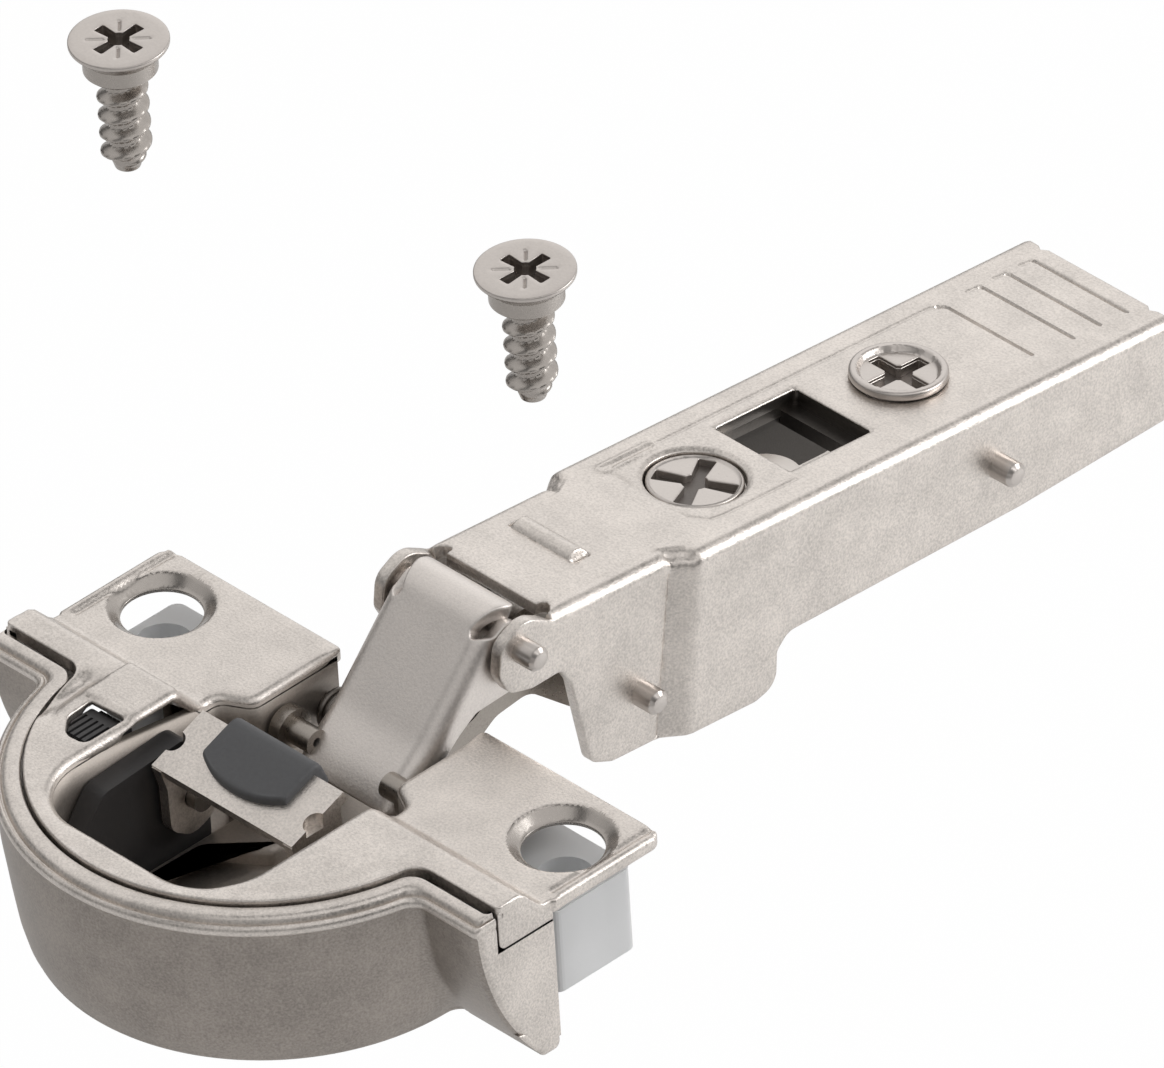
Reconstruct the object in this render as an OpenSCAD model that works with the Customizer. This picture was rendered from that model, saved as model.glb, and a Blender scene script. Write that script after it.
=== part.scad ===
// Concealed cup hinge for a narrow frame, drawn in its open position.
// Origin: midway between the two ear holes, on the top of the ears.
// +X runs along the pivots, +Y points from the cup to the arm, +Z points out of the cup.

/* [Cup] */
// Radius of the round cup wall under its rim
cup_r = 18.7; // [18:0.1:19]
// Radius of the round cup wall at its foot
cup_foot_r = 17.2; // [16.6:0.05:17.4]
// Radius of the rim around the top of the cup
rim_r = 18.2; // [17.8:0.1:18.6]
// Distance from the ear holes back to the centre of the round wall
cup_back = 8.6; // [8:0.1:9.2]
// Depth of the cup below the top of the ears
cup_depth = 11.5; // [11.2:0.1:13]
// Sheet of the cup shell
shell_t = 1; // [0.8:0.05:1.1]
// Half length of the straight wings
wing_x = 24.4; // [23.6:0.1:25]
// Front edge of the wings, behind the ear holes
wing_front = 12.2; // [12:0.1:12.6]
// Rear edge of the wings, behind the ear holes
wing_back = 5.3; // [5:0.1:5.8]
// Radius of the curved front of the wings
wing_r = 20.6; // [18:0.2:24]

/* [Mounting plate] */
// Sheet of the mounting plate
plate_t = 1.1; // [0.9:0.05:1.2]
// Height of the raised ring above the ears
ring_z = 2; // [1.8:0.1:2.3]
// Half the distance between the two ear holes
hole_x = 19.9; // [19:0.1:20.4]
// Diameter of an ear hole
hole_d = 5.8; // [5.5:0.1:6]
// Diameter of the countersink in an ear
sink_d = 7.6; // [7.5:0.1:8]
// Outer end of an ear
ear_x = 24.6; // [24.5:0.05:25.2]
// Rear edge of an ear
ear_y = 4.95; // [4.6:0.05:5.4]
// Half width of the gap between the ears
gap_x = 7; // [6.8:0.1:7.4]
// Half width of the cup opening
opening_x = 9.3; // [9:0.1:9.7]
// Front edge of the cup opening, behind the ear holes
opening_front = 22.9; // [22.2:0.1:23.2]
// Sheet of the drawn tub below the opening
tub_t = 0.8; // [0.6:0.05:0.9]

/* [Frame clamp] */
// Thickness of the frame wall that is clamped under an ear
frame_wall = 2; // [1.5:0.1:2.2]
// Height of a clamp block
block_h = 6.8; // [6:0.1:7]
// Outer end of a clamp block
block_x = 22.6; // [21.9:0.1:22.8]
// Half length of a clamp block along the arm
block_y = 3.8; // [3.2:0.1:4]
// Height at which the loose screws hang above their seats
screw_lift = 47.3; // [40:0.1:50]

/* [Frame screw] */
// Diameter of the screw head
head_d = 7; // [6.8:0.1:7.1]
// Diameter of the collar under the head
collar_d = 5.2; // [4.8:0.1:5.3]
// Diameter over the thread
thread_d = 3.65; // [3.4:0.05:3.8]
// Pitch of the thread
thread_pitch = 1.5; // [1.3:0.05:1.7]
// Length of the screw
screw_len = 10.6; // [10:0.1:11]

/* [Links] */
// Sheet of the two links
link_t = 1.1; // [1:0.05:1.2]
// Diameter of the link pins
pin_d = 1.9; // [1.8:0.05:2]
// Half width of the outer link
outer_x = 4.95; // [4.8:0.05:5]
// Half width of the inner link
inner_x = 3.3; // [3:0.05:3.4]

/* [Arm] */
// Length of the top of the arm
arm_len = 58.5; // [57:0.5:62]
// Slope of the open arm down to its rear
arm_tilt = 5.8; // [5:0.1:6.5]
// Sheet of the arm
arm_t = 1.1; // [1:0.05:1.15]
// Half width of the arm in front of the jog
arm_front_x = 6.3; // [6.25:0.05:6.4]
// Half width of the arm behind the jog
arm_x = 7.45; // [7.35:0.05:7.8]
// Outer radius of the two long bends
bend_r = 1; // [0.8:0.1:1.2]
// Length by which the pin ends stand out of the arm
pin_out = 1.9; // [1.2:0.1:2]
// Side of the square hole along the arm
window_y = 7.8; // [7:0.1:8.2]
// Side of the square hole across the arm
window_x = 7.5; // [7:0.1:8]
// Diameter of the two adjusting screws
adjuster_d = 7; // [6.8:0.1:7.2]
// Travel of the base channel to each side of the middle
base_travel = 2; // [1:0.1:2]

/* [Hidden] */
$fn = 64;
// Running clearance of a pin in its bore
fit = 0.06;
// Clearance between sheets that slide past each other
slide_gap = 0.25;
// Width of the visible seam between two pressed parts
seam = 0.2;
cover = 0.01;

// Pivots of the links, as [y, z]
outer_pivot = [-1, -3.1];
inner_pivot = [3.2, -3.9];
front_pivot = [9.5, 3.9];
middle_pivot = [20.2, -5.7];
lever_pivot = [-10.1, -3.7];
// Turn of the outer link between open and closed
fold_angle = 118;
pin_r = pin_d / 2;

// Places along the arm, measured from the front pivot along the arm and up from it
arm_front = 3.1;
arm_top = 1.52;
jog_start = 14.2;
jog_end = 15.8;
side_screw_y = 22.5;
window_mid = 31.9;
cam_y = 42.1;
rear_pin_at = [44.7, -3.4];
adjuster_r = adjuster_d / 2;

// Cup sections
plate_under = ring_z - plate_t;
rim_z = ring_z - 0.35;
sink_deep = 0.8;
groove_r = rim_r - 1.3;
band_y = -10.5;
bead_r = 0.45;
step_front = 8;
step_back = 6.2;
tab_z = -1.6;
block_top = -plate_t - frame_wall;
box_x = 13.6;
box_y = 4.4;
tub_floor = -cup_depth + shell_t;

steel = [0.78, 0.75, 0.72];
dark_steel = [0.48, 0.44, 0.41];
plastic_black = [0.12, 0.12, 0.13];
plastic_grey = [0.31, 0.31, 0.32];
plastic_clear = [0.82, 0.83, 0.84];

function unit(v) = v / norm(v);
function spin(v, a) = [v.x * cos(a) - v.y * sin(a), v.x * sin(a) + v.y * cos(a)];

// Points of one rounded corner b between a and c
function corner(a, b, c, r, n = 6) =
    let (u = unit(a - b), v = unit(c - b), half = acos(u * v) / 2,
        mid = b + unit(u + v) * r / sin(half), start = b + u * r / tan(half) - mid,
        side = u.x * v.y - u.y * v.x > 0 ? -1 : 1)
    [for (i = [0 : n]) mid + spin(start, side * (180 - 2 * half) * i / n)];

// A closed outline of [x, y, corner radius] points with its corners rounded
function outline(p) =
    let (n = len(p))
    [for (i = [0 : n - 1])
        let (a = p[(i + n - 1) % n], b = p[i], c = p[(i + 1) % n])
        each b[2] == 0 ? [[b.x, b.y]]
            : corner([a.x, a.y], [b.x, b.y], [c.x, c.y], b[2])];

// Points of an arc about a centre
function arc(mid, r, from, to, n = 16) =
    [for (i = [0 : n]) mid + r * [cos(from + (to - from) * i / n), sin(from + (to - from) * i / n)]];

// A [y, z] outline pushed along X, centred, w wide
module along_x(w) {
    rotate([90, 0, 90])
        linear_extrude(w, center = true)
            children();
}

// The same outline between two places on X, on both sides of the middle
module both_sides(x0, x1) {
    for (s = [-1, 1])
        translate([s * (x0 + x1) / 2, 0, 0])
            along_x(x1 - x0)
                children();
}

// A round bar along X through the [y, z] point p
module bar_x(p, r, w) {
    translate([0, p.x, p.y])
        rotate([0, 90, 0])
            cylinder(r = r, h = w, center = true);
}

// A box with its corners at a and b
module box(a, b) {
    translate(a)
        cube(b - a);
}

// Places its children in the arm's own frame: origin on the front pivot
module in_arm() {
    translate([0, front_pivot.x, front_pivot.y])
        rotate([-arm_tilt, 0, 0])
            children();
}

// Cup shell

module cup_section() {
    polygon(concat(
        [[cup_foot_r - shell_t, -cup_depth + 0.4], [cup_foot_r - 0.5, -cup_depth]],
        arc([cup_foot_r - 0.55, -cup_depth + 0.55], 0.55, -60, 0, 4),
        [[cup_r, 0.2]],
        arc([rim_r + 0.2, rim_z - bead_r - 0.3], bead_r, -30, 80, 6),
        [[rim_r, rim_z], [groove_r, rim_z], [groove_r, plate_under], [groove_r - 1.3, plate_under],
            [groove_r - 1.3, plate_under - 0.9], [cup_r - shell_t, plate_under - 1.6]]));
}

// Side view of a wing, shrunk by inset for the hollow inside it
module wing_section(inset) {
    r = wing_r - inset;
    mid = [wing_r - wing_front, 1.5];
    low = -cup_depth - 0.9;
    rear = inset > 0 ? 1 : -wing_back;
    end = 180 + asin((mid.y - low - 0.4) / r);
    polygon(concat([[rear, rim_z]], [[mid.x - sqrt(r * r - pow(mid.y - rim_z, 2)), rim_z]],
        arc(mid, r, 180, end, 20), [[mid.x + r * cos(end) + 0.5, low + inset], [rear, low + inset]]));
}

// The bead that runs along the rim of each wing
module wing_rim() {
    run = wing_x - rim_r + 1.2;
    for (s = [-1, 1])
        translate([s * (wing_x - run / 2), 0, 0])
            bar_x([-wing_front + 0.1, rim_z - bead_r - 0.3], bead_r, run);
}

// The room that the mounting plate takes, with a seam all round it
module plate_room() {
    both_sides(-wing_x - 1, wing_x + 1)
        polygon([[band_y, plate_under], [-step_front - 0.7, plate_under],
            [-step_back - 0.7, -plate_t - 0.02], [10, -plate_t - 0.02], [10, 5], [band_y, 5]]);
    both_sides(wing_x - plate_t - seam, wing_x + 1)
        polygon(outline([[band_y, tab_z - seam, 0.7], [0, tab_z - seam, 0], [0, 5, 0],
            [band_y, 5, 0]]));
}

module cup_shell() {
    wing_in = rim_r - 1.4;
    color(steel)
    difference() {
        union() {
            intersection() {
                translate([0, -cup_back, 0])
                    rotate_extrude($fn = 180)
                        cup_section();
                box([-cup_r - 2, -cup_back - cup_r - 2, -cup_depth - 1], [cup_r + 2, -wing_back, 4]);
            }
            intersection() {
                translate([0, -cup_back, -cup_depth])
                    cylinder(r = cup_foot_r - 0.6, h = shell_t, $fn = 180);
                box([-cup_r, -cup_back - cup_r, -cup_depth - 1], [cup_r, -wing_back, 4]);
            }
            difference() {
                both_sides(wing_in, wing_x)
                    wing_section(0);
                both_sides(wing_in - 1, wing_x - shell_t)
                    intersection() {
                        wing_section(shell_t);
                        translate([-wing_front - 1, -cup_depth - 5])
                            square([30, cup_depth + 5 - plate_t - shell_t]);
                    }
            }
            wing_rim();
            difference() {
                box([-box_x, -wing_back - 3, -cup_depth], [box_x, box_y, -plate_t - 0.02]);
                box([-box_x + shell_t, -wing_back - 4, tub_floor],
                    [box_x - shell_t, box_y - shell_t, 1]);
                box([-gap_x - tub_t - 0.02, 0, tub_floor], [gap_x + tub_t + 0.02, box_y + 1, 1]);
            }
        }
        plate_room();
        // Free space inside the round wall, for the tub
        intersection() {
            translate([0, -cup_back, tub_floor])
                cylinder(r1 = cup_foot_r - shell_t, r2 = cup_r - shell_t, h = cup_depth, $fn = 180);
            box([-cup_r, -cup_back - cup_r, tub_floor], [cup_r, -wing_back - 2, plate_under - 0.9]);
        }
        box([-box_x + shell_t, -wing_back - 6, tub_floor], [box_x - shell_t, -2, plate_under + 1]);
        translate([0, 0, tub_floor])
            linear_extrude(plate_under - tub_floor + 0.5)
                opening_outline(tub_t + seam);
        bar_x(inner_pivot, pin_head_r + seam, 2 * (gap_x + tub_t + pin_head_t + seam));
    }
}

// Mounting plate

module opening_outline(grow) {
    x = opening_x + grow;
    front = -opening_front - grow;
    polygon(outline([
        [-x, front, 5 + grow], [x, front, 5 + grow],
        [x, -4.6 + grow, 1], [gap_x + grow, -3.4 + grow, 1],
        [gap_x + grow, ear_y + 1, 0], [-gap_x - grow, ear_y + 1, 0],
        [-gap_x - grow, -3.4 + grow, 1], [-x, -4.6 + grow, 1]]));
}

module plate_section() {
    band = band_y + seam;
    polygon(outline([
        [band, plate_under, 0], [-step_front - 0.5, plate_under, 0.5],
        [-step_back - 0.5, -plate_t, 0.6], [ear_y, -plate_t, 0], [ear_y, 0, 0.3],
        [-step_back, 0, 0.7], [-step_front, ring_z, 0.7], [band, ring_z, 0.3]]));
}

module ring_top() {
    translate([0, 0, plate_under])
        linear_extrude(plate_t)
            intersection() {
                translate([0, -cup_back])
                    circle(r = groove_r - seam, $fn = 180);
                translate([-cup_r, -cup_back - cup_r])
                    square([2 * cup_r, cup_r + cup_back - step_front - 1]);
            }
}

// Window of the damper switch, round at its front
module window_outline(inset) {
    polygon(outline([[-13.4 + inset, -12.5 - inset, 0.2], [-13.4 + inset, -14.8, 1.6],
        [-11.9, -16.4 + inset, 1.4], [-10.2 - inset, -16.3 + inset, 0.7],
        [-10.2 - inset, -12.5 - inset, 0.2]]));
}

module switch_boss() {
    box([-opening_x - 5.2, -12.4, ring_z - 0.3], [-opening_x + 0.8, -7.6, ring_z + 0.35]);
}

module mounting_plate() {
    color(steel)
    difference() {
        union() {
            along_x(2 * wing_x)
                plate_section();
            ring_top();
            // Rolled outer edges of the ears
            both_sides(wing_x - 1, ear_x)
                polygon(outline([[-wing_back + 0.1, -plate_t, 0.4], [ear_y, -plate_t, 0.4],
                    [ear_y, 0, 0.4], [-wing_back + 0.1, 0, 0.4]]));
            both_sides(wing_x - plate_t, wing_x)
                polygon(outline([[band_y + seam, tab_z, 0.6], [-wing_back, tab_z, 0],
                    [-wing_back, -0.4, 0], [-step_back, -0.4, 0], [-step_front, ring_z - 0.3, 0],
                    [band_y + seam, ring_z - 0.3, 0]]));
            // Walls and floor of the drawn tub
            intersection() {
                translate([0, 0, tub_floor])
                    linear_extrude(plate_under + cover - tub_floor)
                        opening_outline(tub_t);
                box([-20, -30, -20], [20, -step_front - 0.3, 20]);
            }
            intersection() {
                translate([0, 0, tub_floor])
                    linear_extrude(-plate_t + cover - tub_floor)
                        opening_outline(tub_t);
                box([-20, -step_front - 0.4, -20], [20, box_y, 20]);
            }
            switch_boss();
        }
        translate([0, 0, tub_floor + tub_t])
            linear_extrude(30)
                opening_outline(0);
        box([-gap_x, 2, -6.6], [gap_x, 9, 3]);
        // Rounded rear corners of the ears
        for (s = [-1, 1])
            translate([s * (ear_x - 1), ear_y - 1, -3])
                difference() {
                    translate([s > 0 ? 0 : -2, 0, 0])
                        cube([2, 2, 4]);
                    cylinder(r = 1, h = 5);
                }
        for (s = [-1, 1])
            translate([s * hole_x, 0, 0]) {
                translate([0, 0, -4])
                    cylinder(d = hole_d, h = 6);
                translate([0, 0, -sink_deep])
                    cylinder(d1 = hole_d, d2 = sink_d, h = sink_deep);
                cylinder(d = sink_d, h = 1);
            }
        // Bores for the link pins and the damper pin
        bar_x(outer_pivot, pin_r, 4 * gap_x);
        bar_x(inner_pivot, pin_r, 4 * gap_x);
        bar_x(lever_pivot, pin_r, 4 * gap_x);
        // Window of the damper switch, with room for it to slide back under its cover
        box([-13.4, -12.6, plate_under - 1], [-opening_x - tub_t - 0.1, -9.2, ring_z - 0.45]);
        translate([0, 0, -2])
            linear_extrude(8)
                window_outline(0);
    }
}

// Clamp blocks

module clamp_block(s) {
    color(plastic_clear)
    difference() {
        union() {
            translate([0, 0, block_top - block_h])
                linear_extrude(block_h)
                    polygon(outline([[s * box_x, -block_y, 0], [s * block_x, -block_y, 0.8],
                        [s * block_x, block_y, 0.8], [s * box_x, block_y, 0]]));
        }
        translate([s * hole_x, 0, block_top - block_h - 1])
            cylinder(d = thread_d + 0.4, h = block_h + 2);
    }
}

module clamp_block_left() {
    clamp_block(-1);
}

module clamp_block_right() {
    clamp_block(1);
}

// Frame screws

module screw_profile() {
    head_z = 0.35;
    head_r = head_d / 2;
    collar_r = collar_d / 2;
    root_r = thread_d / 2 - 0.75;
    crest_r = thread_d / 2;
    collar_z = head_z - 2.6;
    tip_z = head_z - screw_len;
    turns = floor((collar_z - tip_z - 0.9) / thread_pitch);
    polygon(concat([[0, head_z], [head_r - 0.1, head_z], [head_r, head_z - 0.1], [head_r, 0],
            [collar_r, -head_r + collar_r], [collar_r, collar_z + 0.2], [collar_r - 0.3, collar_z],
            [root_r + 0.2, collar_z]],
        [for (i = [0 : turns - 1]) let (z = collar_z - 0.5 - i * thread_pitch)
            each [[root_r, z], [crest_r, z - 0.45], [crest_r, z - 0.65], [root_r, z - 1.05]]],
        [[root_r, tip_z + 0.3], [root_r - 0.3, tip_z], [0, tip_z]]));
}

module frame_screw(s) {
    drive_r = 2.05;
    color(steel)
    translate([s * hole_x, 0, screw_lift])
        difference() {
            rotate_extrude()
                screw_profile();
            for (a = [20, 110])
                rotate([0, 0, a])
                    translate([-drive_r, -0.42, -1.2])
                        cube([2 * drive_r, 0.84, 3]);
            for (a = [65, 155])
                rotate([0, 0, a])
                    translate([-drive_r * 0.8, -0.12, -0.3])
                        cube([drive_r * 1.6, 0.24, 3]);
            translate([0, 0, -1.6])
                cylinder(r1 = 0.3, r2 = 1.25, h = 2.2);
        }
}

module frame_screw_left() {
    frame_screw(-1);
}

module frame_screw_right() {
    frame_screw(1);
}

// Pins and spring in the cup

pin_head_r = pin_r + 0.4;
pin_head_t = 0.6;

module outer_link_pins() {
    stub_out = gap_x + tub_t + pin_head_t;
    color(dark_steel)
    for (s = [-1, 1])
        translate([s * (stub_in + stub_out) / 2, 0, 0])
            difference() {
                union() {
                    bar_x(outer_pivot, pin_r, stub_out - stub_in);
                    translate([s * ((stub_out - stub_in) / 2 - pin_head_t / 2), 0, 0])
                        bar_x(outer_pivot, pin_head_r, pin_head_t);
                    translate([s * (gap_x - slide_gap - (stub_in + stub_out) / 2 - 0.5), 0, 0])
                        bar_x(outer_pivot, pin_r + 0.6, 1);
                }
                bar_x(outer_pivot, 0.35, 20);
            }
}

module inner_link_pin() {
    color(dark_steel) {
        bar_x(inner_pivot, pin_r, 2 * (gap_x + tub_t + pin_head_t));
        for (s = [-1, 1])
            translate([s * (gap_x + tub_t + pin_head_t / 2), 0, 0])
                bar_x(inner_pivot, pin_head_r, pin_head_t);
    }
}

module return_spring() {
    wire = 0.55;
    coil_r = pin_r + 0.15 + wire / 2;
    color(dark_steel)
    for (s = [-1, 1])
        for (i = [0 : 1])
            translate([s * (outer_x + 0.45 + wire / 2 + i * (wire + 0.02)), inner_pivot.x, inner_pivot.y])
                rotate([0, 90, 0])
                    rotate_extrude()
                        translate([coil_r, 0])
                            circle(d = wire, $fn = 16);
}

// Damper

module damper_body() {
    color(plastic_black)
    difference() {
        intersection() {
            translate([0, 0, -cup_depth])
                linear_extrude(cup_depth + ring_z)
                    opening_outline(-0.15);
            translate([-opening_x + 0.15 + 0.9, 0, 0])
                along_x(1.8)
                    polygon(outline([[-21, -tub_body_low(), 1], [-21, -4.5, 1.5],
                        [-17.2, -0.4, 1.2], [-9.4, 0.1, 1.2], [-7.8, -3, 1],
                        [-7.8, -tub_body_low(), 1]]));
        }
        bar_x(lever_pivot, pin_r, 40);
    }
}

function tub_body_low() = cup_depth - shell_t - tub_t - 0.02;

module damper_pin() {
    half = gap_x - slide_gap;
    color(dark_steel)
    translate([-(opening_x + tub_t + half - 1.6) / 2, 0, 0])
        bar_x(lever_pivot, pin_r, opening_x + tub_t - half + 1.6);
}

// Lever pressed by the closing link, with its plastic pad

lever_x = 6.95;
lever_front = [-13.1, 0];
lever_rear = [-8.1, 1.9];
lever_dir = unit(lever_rear - lever_front);
lever_up = [-lever_dir.y, lever_dir.x];

module damper_lever() {
    t = 0.9;
    under = lever_up * -t;
    color(steel)
    difference() {
        union() {
            along_x(2 * lever_x)
                polygon([lever_front, lever_rear, lever_rear + under, lever_front + under]);
            both_sides(lever_x - t, lever_x)
                polygon(outline([
                    [lever_front.x, lever_front.y - 0.2, 0], [lever_rear.x - 0.4, lever_rear.y - 0.6, 0],
                    [-8.2, -2.6, 1], [-8.2, -6, 1.6], [-10.6, -6.9, 1.6], [-12.5, -5.6, 1.4],
                    [-12.6, -2, 1]]));
        }
        bar_x(lever_pivot, pin_r + fit, 40);
        // Small notches beside the pad
        for (s = [-1, 1])
            translate([s * lever_x, -10.9, 0])
                cylinder(r = 0.8, h = 6);
    }
}

module lever_pad() {
    pad_x = 4.1;
    t = 0.7;
    base = lever_rear - lever_dir * 4.2;
    color(plastic_grey)
    difference() {
        along_x(2 * pad_x)
            polygon(outline([
                concat(base, 0), concat(base + lever_up * t, 0.3),
                concat(lever_rear + lever_dir * 0.9 + lever_up * t, 0.7),
                concat(lever_rear + lever_dir * 0.9 - lever_up * 1.7, 0.3),
                concat(lever_rear + lever_dir * 0.02 - lever_up * 1.7, 0),
                concat(lever_rear + lever_dir * 0.02, 0)]));
        // The curved front edge of the pad
        difference() {
            translate([0, base.x - 2, -5])
                cylinder(r = 9, h = 12);
            translate([0, base.x + 8.6, -6])
                cylinder(r = 9, h = 14, $fn = 96);
        }
    }
}

module damper_switch() {
    rib_x = 0.55;
    color(plastic_black)
    union() {
        difference() {
            translate([0, 0, plate_under - 0.6])
                linear_extrude(1.15)
                    intersection() {
                        window_outline(0.15);
                        translate([-20, -15.6])
                            square([20, 5]);
                    }
            for (i = [0 : 4])
                translate([-13.05 + i * rib_x, -17, plate_under + 0.3])
                    cube([0.22, 3.6, 1]);
        }
        // Foot under the ring
        box([-13.4, -15.2, plate_under - 1.6], [-opening_x - tub_t - 0.25, -11.7, plate_under - 0.25]);
    }
}

// Outer link

web_angle = 46.9;
web_dir = [cos(web_angle), sin(web_angle)];
web_up = [-web_dir.y, web_dir.x];
curl_r = 2.45;
web_len = 12.3;
web_kick = [2, 0.55];
eye_r = 1.75;
stub_in = outer_x - link_t - 0.3;

// The open pivot: the middle pin has room in the end of the inner link
slot_shift = [1.17, 0.56];
pin_reach = 1.36;
slot_r = pin_r + pin_reach + 0.15;

// Side view of the web: curled round the front pin, with its foot set out a little
module web_section() {
    top = front_pivot + web_up * curl_r;
    bend = top - web_dir * web_len;
    foot = bend - web_dir * web_kick.x + web_up * web_kick.y;
    polygon(concat([bend, foot, foot - web_up * link_t, bend - web_up * link_t],
        arc(front_pivot, curl_r - link_t, 90 + web_angle, 50, 10),
        arc(front_pivot, curl_r, 50, 90 + web_angle, 10)));
}

// Outline of a side of the outer link: flush with the web, widening to the eyes at both ends
module flange_section() {
    top = front_pivot + web_up * curl_r;
    foot = outer_pivot + web_up * eye_r;
    polygon(outline([
        concat(top, 0.5),
        concat(front_pivot + [0.4, 2.1], 1.6), concat(front_pivot + [2, 0.2], 1.6),
        [10.2, -0.3, 1], [6.2, -0.4, 0.8], [4.6, -1.4, 0.8], [0.8, -4, 1],
        concat(outer_pivot + [0.2, -eye_r - 0.2], 1.4),
        concat(outer_pivot + [-eye_r - 0.2, -0.4], 1.4),
        concat(foot - web_dir * 0.2, 1.2), concat(foot + web_dir * 1.6, 2),
        concat(top - web_dir * 8.6, 2)]));
}

module outer_link() {
    relief = 1.3;
    color(steel)
    difference() {
        union() {
            difference() {
                along_x(2 * outer_x)
                    web_section();
                // Relief cuts between the curled end and the flanges
                for (s = [-1, 1])
                    translate([s * (outer_x - relief / 2 + cover), front_pivot.x, front_pivot.y])
                        rotate([web_angle, 0, 0])
                            translate([-relief / 2, -0.9, -4])
                                cube([relief, 8, 8]);
            }
            both_sides(outer_x - link_t, outer_x)
                flange_section();
        }
        bar_x(front_pivot, pin_r + fit, 40);
        for (s = [-1, 1])
            translate([s * (stub_in + 5 - fit), 0, 0])
                bar_x(outer_pivot, pin_r + fit, 10);
    }
}

// Inner link

// Outline of a side of the inner link: a gooseneck from the cup over to the arm
module cheek_section() {
    polygon(outline([
        concat(inner_pivot + [-1.6, 0.2], 1.3), concat(inner_pivot + [-0.4, 1.7], 1.2),
        [4.9, -3, 0.6], [7.4, -2.3, 1.5], [9.9, -0.9, 1.5], [13.4, -1, 2], [17.4, -2.4, 2.5],
        [23.4, -1.8, 2.8], [25, -5.2, 2.8], [23.4, -8.7, 2.8], [18.8, -8.4, 2.8],
        [15.4, -5.4, 2], [12.6, -2.9, 2], [9.4, -3.2, 2], [5.6, -5.6, 2],
        concat(inner_pivot + [-0.8, -1.8], 1.4)]));
}

module inner_link() {
    slot_mid = middle_pivot + slot_shift;
    color(steel)
    difference() {
        union() {
            both_sides(inner_x - link_t, inner_x)
                cheek_section();
            along_x(2 * inner_x - 1)
                polygon([[8.6, -3.3], [9.8, -2.7], [12.4, -2.6], [12.4, -1.6], [10, -1.6], [8.6, -2.3]]);
            bar_x(inner_pivot, pin_r + 0.55, 2 * inner_x);
        }
        bar_x(inner_pivot, pin_r + fit, 40);
        bar_x(slot_mid, slot_r, 40);
    }
}

// Arm

module arm_side() {
    polygon(outline([
        [-1.95, 0.2, 1.8], [0, 2.25, 1.8], [2.4, 1.2, 0.4], [3.1, 1.5, 0.2],
        [arm_front + arm_len, arm_top, 0.4], [arm_front + arm_len, -6.5, 1],
        [47, -7.7, 0], [24.6, -8.5, 1.4], [23.6, -9.6, 0.6], [23.6, -12.3, 1.6], [21.6, -12.95, 1.2],
        [9, -12.95, 1.6], [7, -12.2, 1], [4.9, -4.8, 0.9], [3.9, -3.4, 0.7], [1.2, -3.6, 1.2],
        [-1, -3.3, 1.4], [-2.05, -1.6, 1]]));
}

// Section across the arm: a channel with two rounded bends
module channel(half) {
    translate([-half, -16])
        square([2 * half, 16 + arm_top - bend_r]);
    translate([-half + bend_r, 0])
        square([2 * (half - bend_r), arm_top]);
    for (s = [-1, 1])
        translate([s * (half - bend_r), arm_top - bend_r])
            circle(r = bend_r);
}

module channel_run(half, y0, y1) {
    translate([0, y1, 0])
        rotate([90, 0, 0])
            linear_extrude(y1 - y0)
                difference() {
                    channel(half);
                    translate([-half + arm_t, -20])
                        square([2 * (half - arm_t), 20 + arm_top - arm_t]);
                }
}

module jog_walls() {
    translate([0, 0, -16])
        linear_extrude(16 + arm_top - 0.05)
            for (s = [-1, 1])
                polygon([[s * (arm_front_x - arm_t), jog_start], [s * arm_front_x, jog_start],
                    [s * arm_x, jog_end], [s * (arm_x - arm_t), jog_end]]);
    box([-arm_front_x, jog_start, arm_top - arm_t], [arm_front_x, jog_end, arm_top]);
}

// A fine groove pressed into the top of the arm between two [x, y] places
module groove_line(a, b) {
    d = b - a;
    translate([a.x, a.y, arm_top - 0.18])
        rotate([0, 0, atan2(d.y, d.x)])
            translate([0, -0.16, 0])
                cube([norm(d), 0.32, 1]);
}

module arm_marks() {
    end = arm_front + arm_len;
    for (i = [0 : 2]) {
        y = end - 1.75 - i * 2.6;
        groove_line([-4.8, y], [4.5, y]);
        groove_line([-4.8, y - 1.15], [-4.8, y]);
    }
    panel = side_screw_y - 4;
    groove_line([-5, cam_y + 8.9], [4.1, cam_y + 8.9]);
    groove_line([-5, panel], [-5, cam_y + 8.9]);
    groove_line([-5, panel], [3.4, panel]);
    groove_line([4.8, panel + 1.2], [4.8, panel + 9]);
}

module hinge_arm() {
    color(steel)
    in_arm()
        difference() {
            union() {
                intersection() {
                    union() {
                        channel_run(arm_front_x, arm_front, jog_start);
                        channel_run(arm_x, jog_end, arm_front + arm_len);
                        jog_walls();
                        both_arm_lobes();
                    }
                    along_x(2 * arm_x + 2)
                        arm_side();
                }
                // Raised bar near the front of the top
                translate([-3.9, 8.7, arm_top - 0.05])
                    cube([5.9, 1.5, 0.35]);
            }
            // Relief notches on the bends at the front and at the jog
            for (s = [-1, 1]) {
                translate([s * (arm_front_x - bend_r - 0.25), arm_front, -0.2])
                    cylinder(r = 0.6, h = 4);
                translate([s * arm_x, (jog_start + jog_end) / 2, arm_top - 1.1])
                    cylinder(r = 1.5, h = 3);
            }
            translate([0, window_mid, 0])
                box([-window_x / 2, -window_y / 2, -2], [window_x / 2, window_y / 2, 4]);
            translate([0, side_screw_y, -2])
                cylinder(r = adjuster_r + 0.2, h = 6);
            translate([0, cam_y, -2])
                cylinder(r = adjuster_r - 0.3, h = 6);
            arm_marks();
            bar_x([0, 0], pin_r, 40);
            bar_x(middle_in_arm(), pin_r, 40);
            bar_x(rear_pin_at, pin_r, 40);
        }
}

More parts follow.
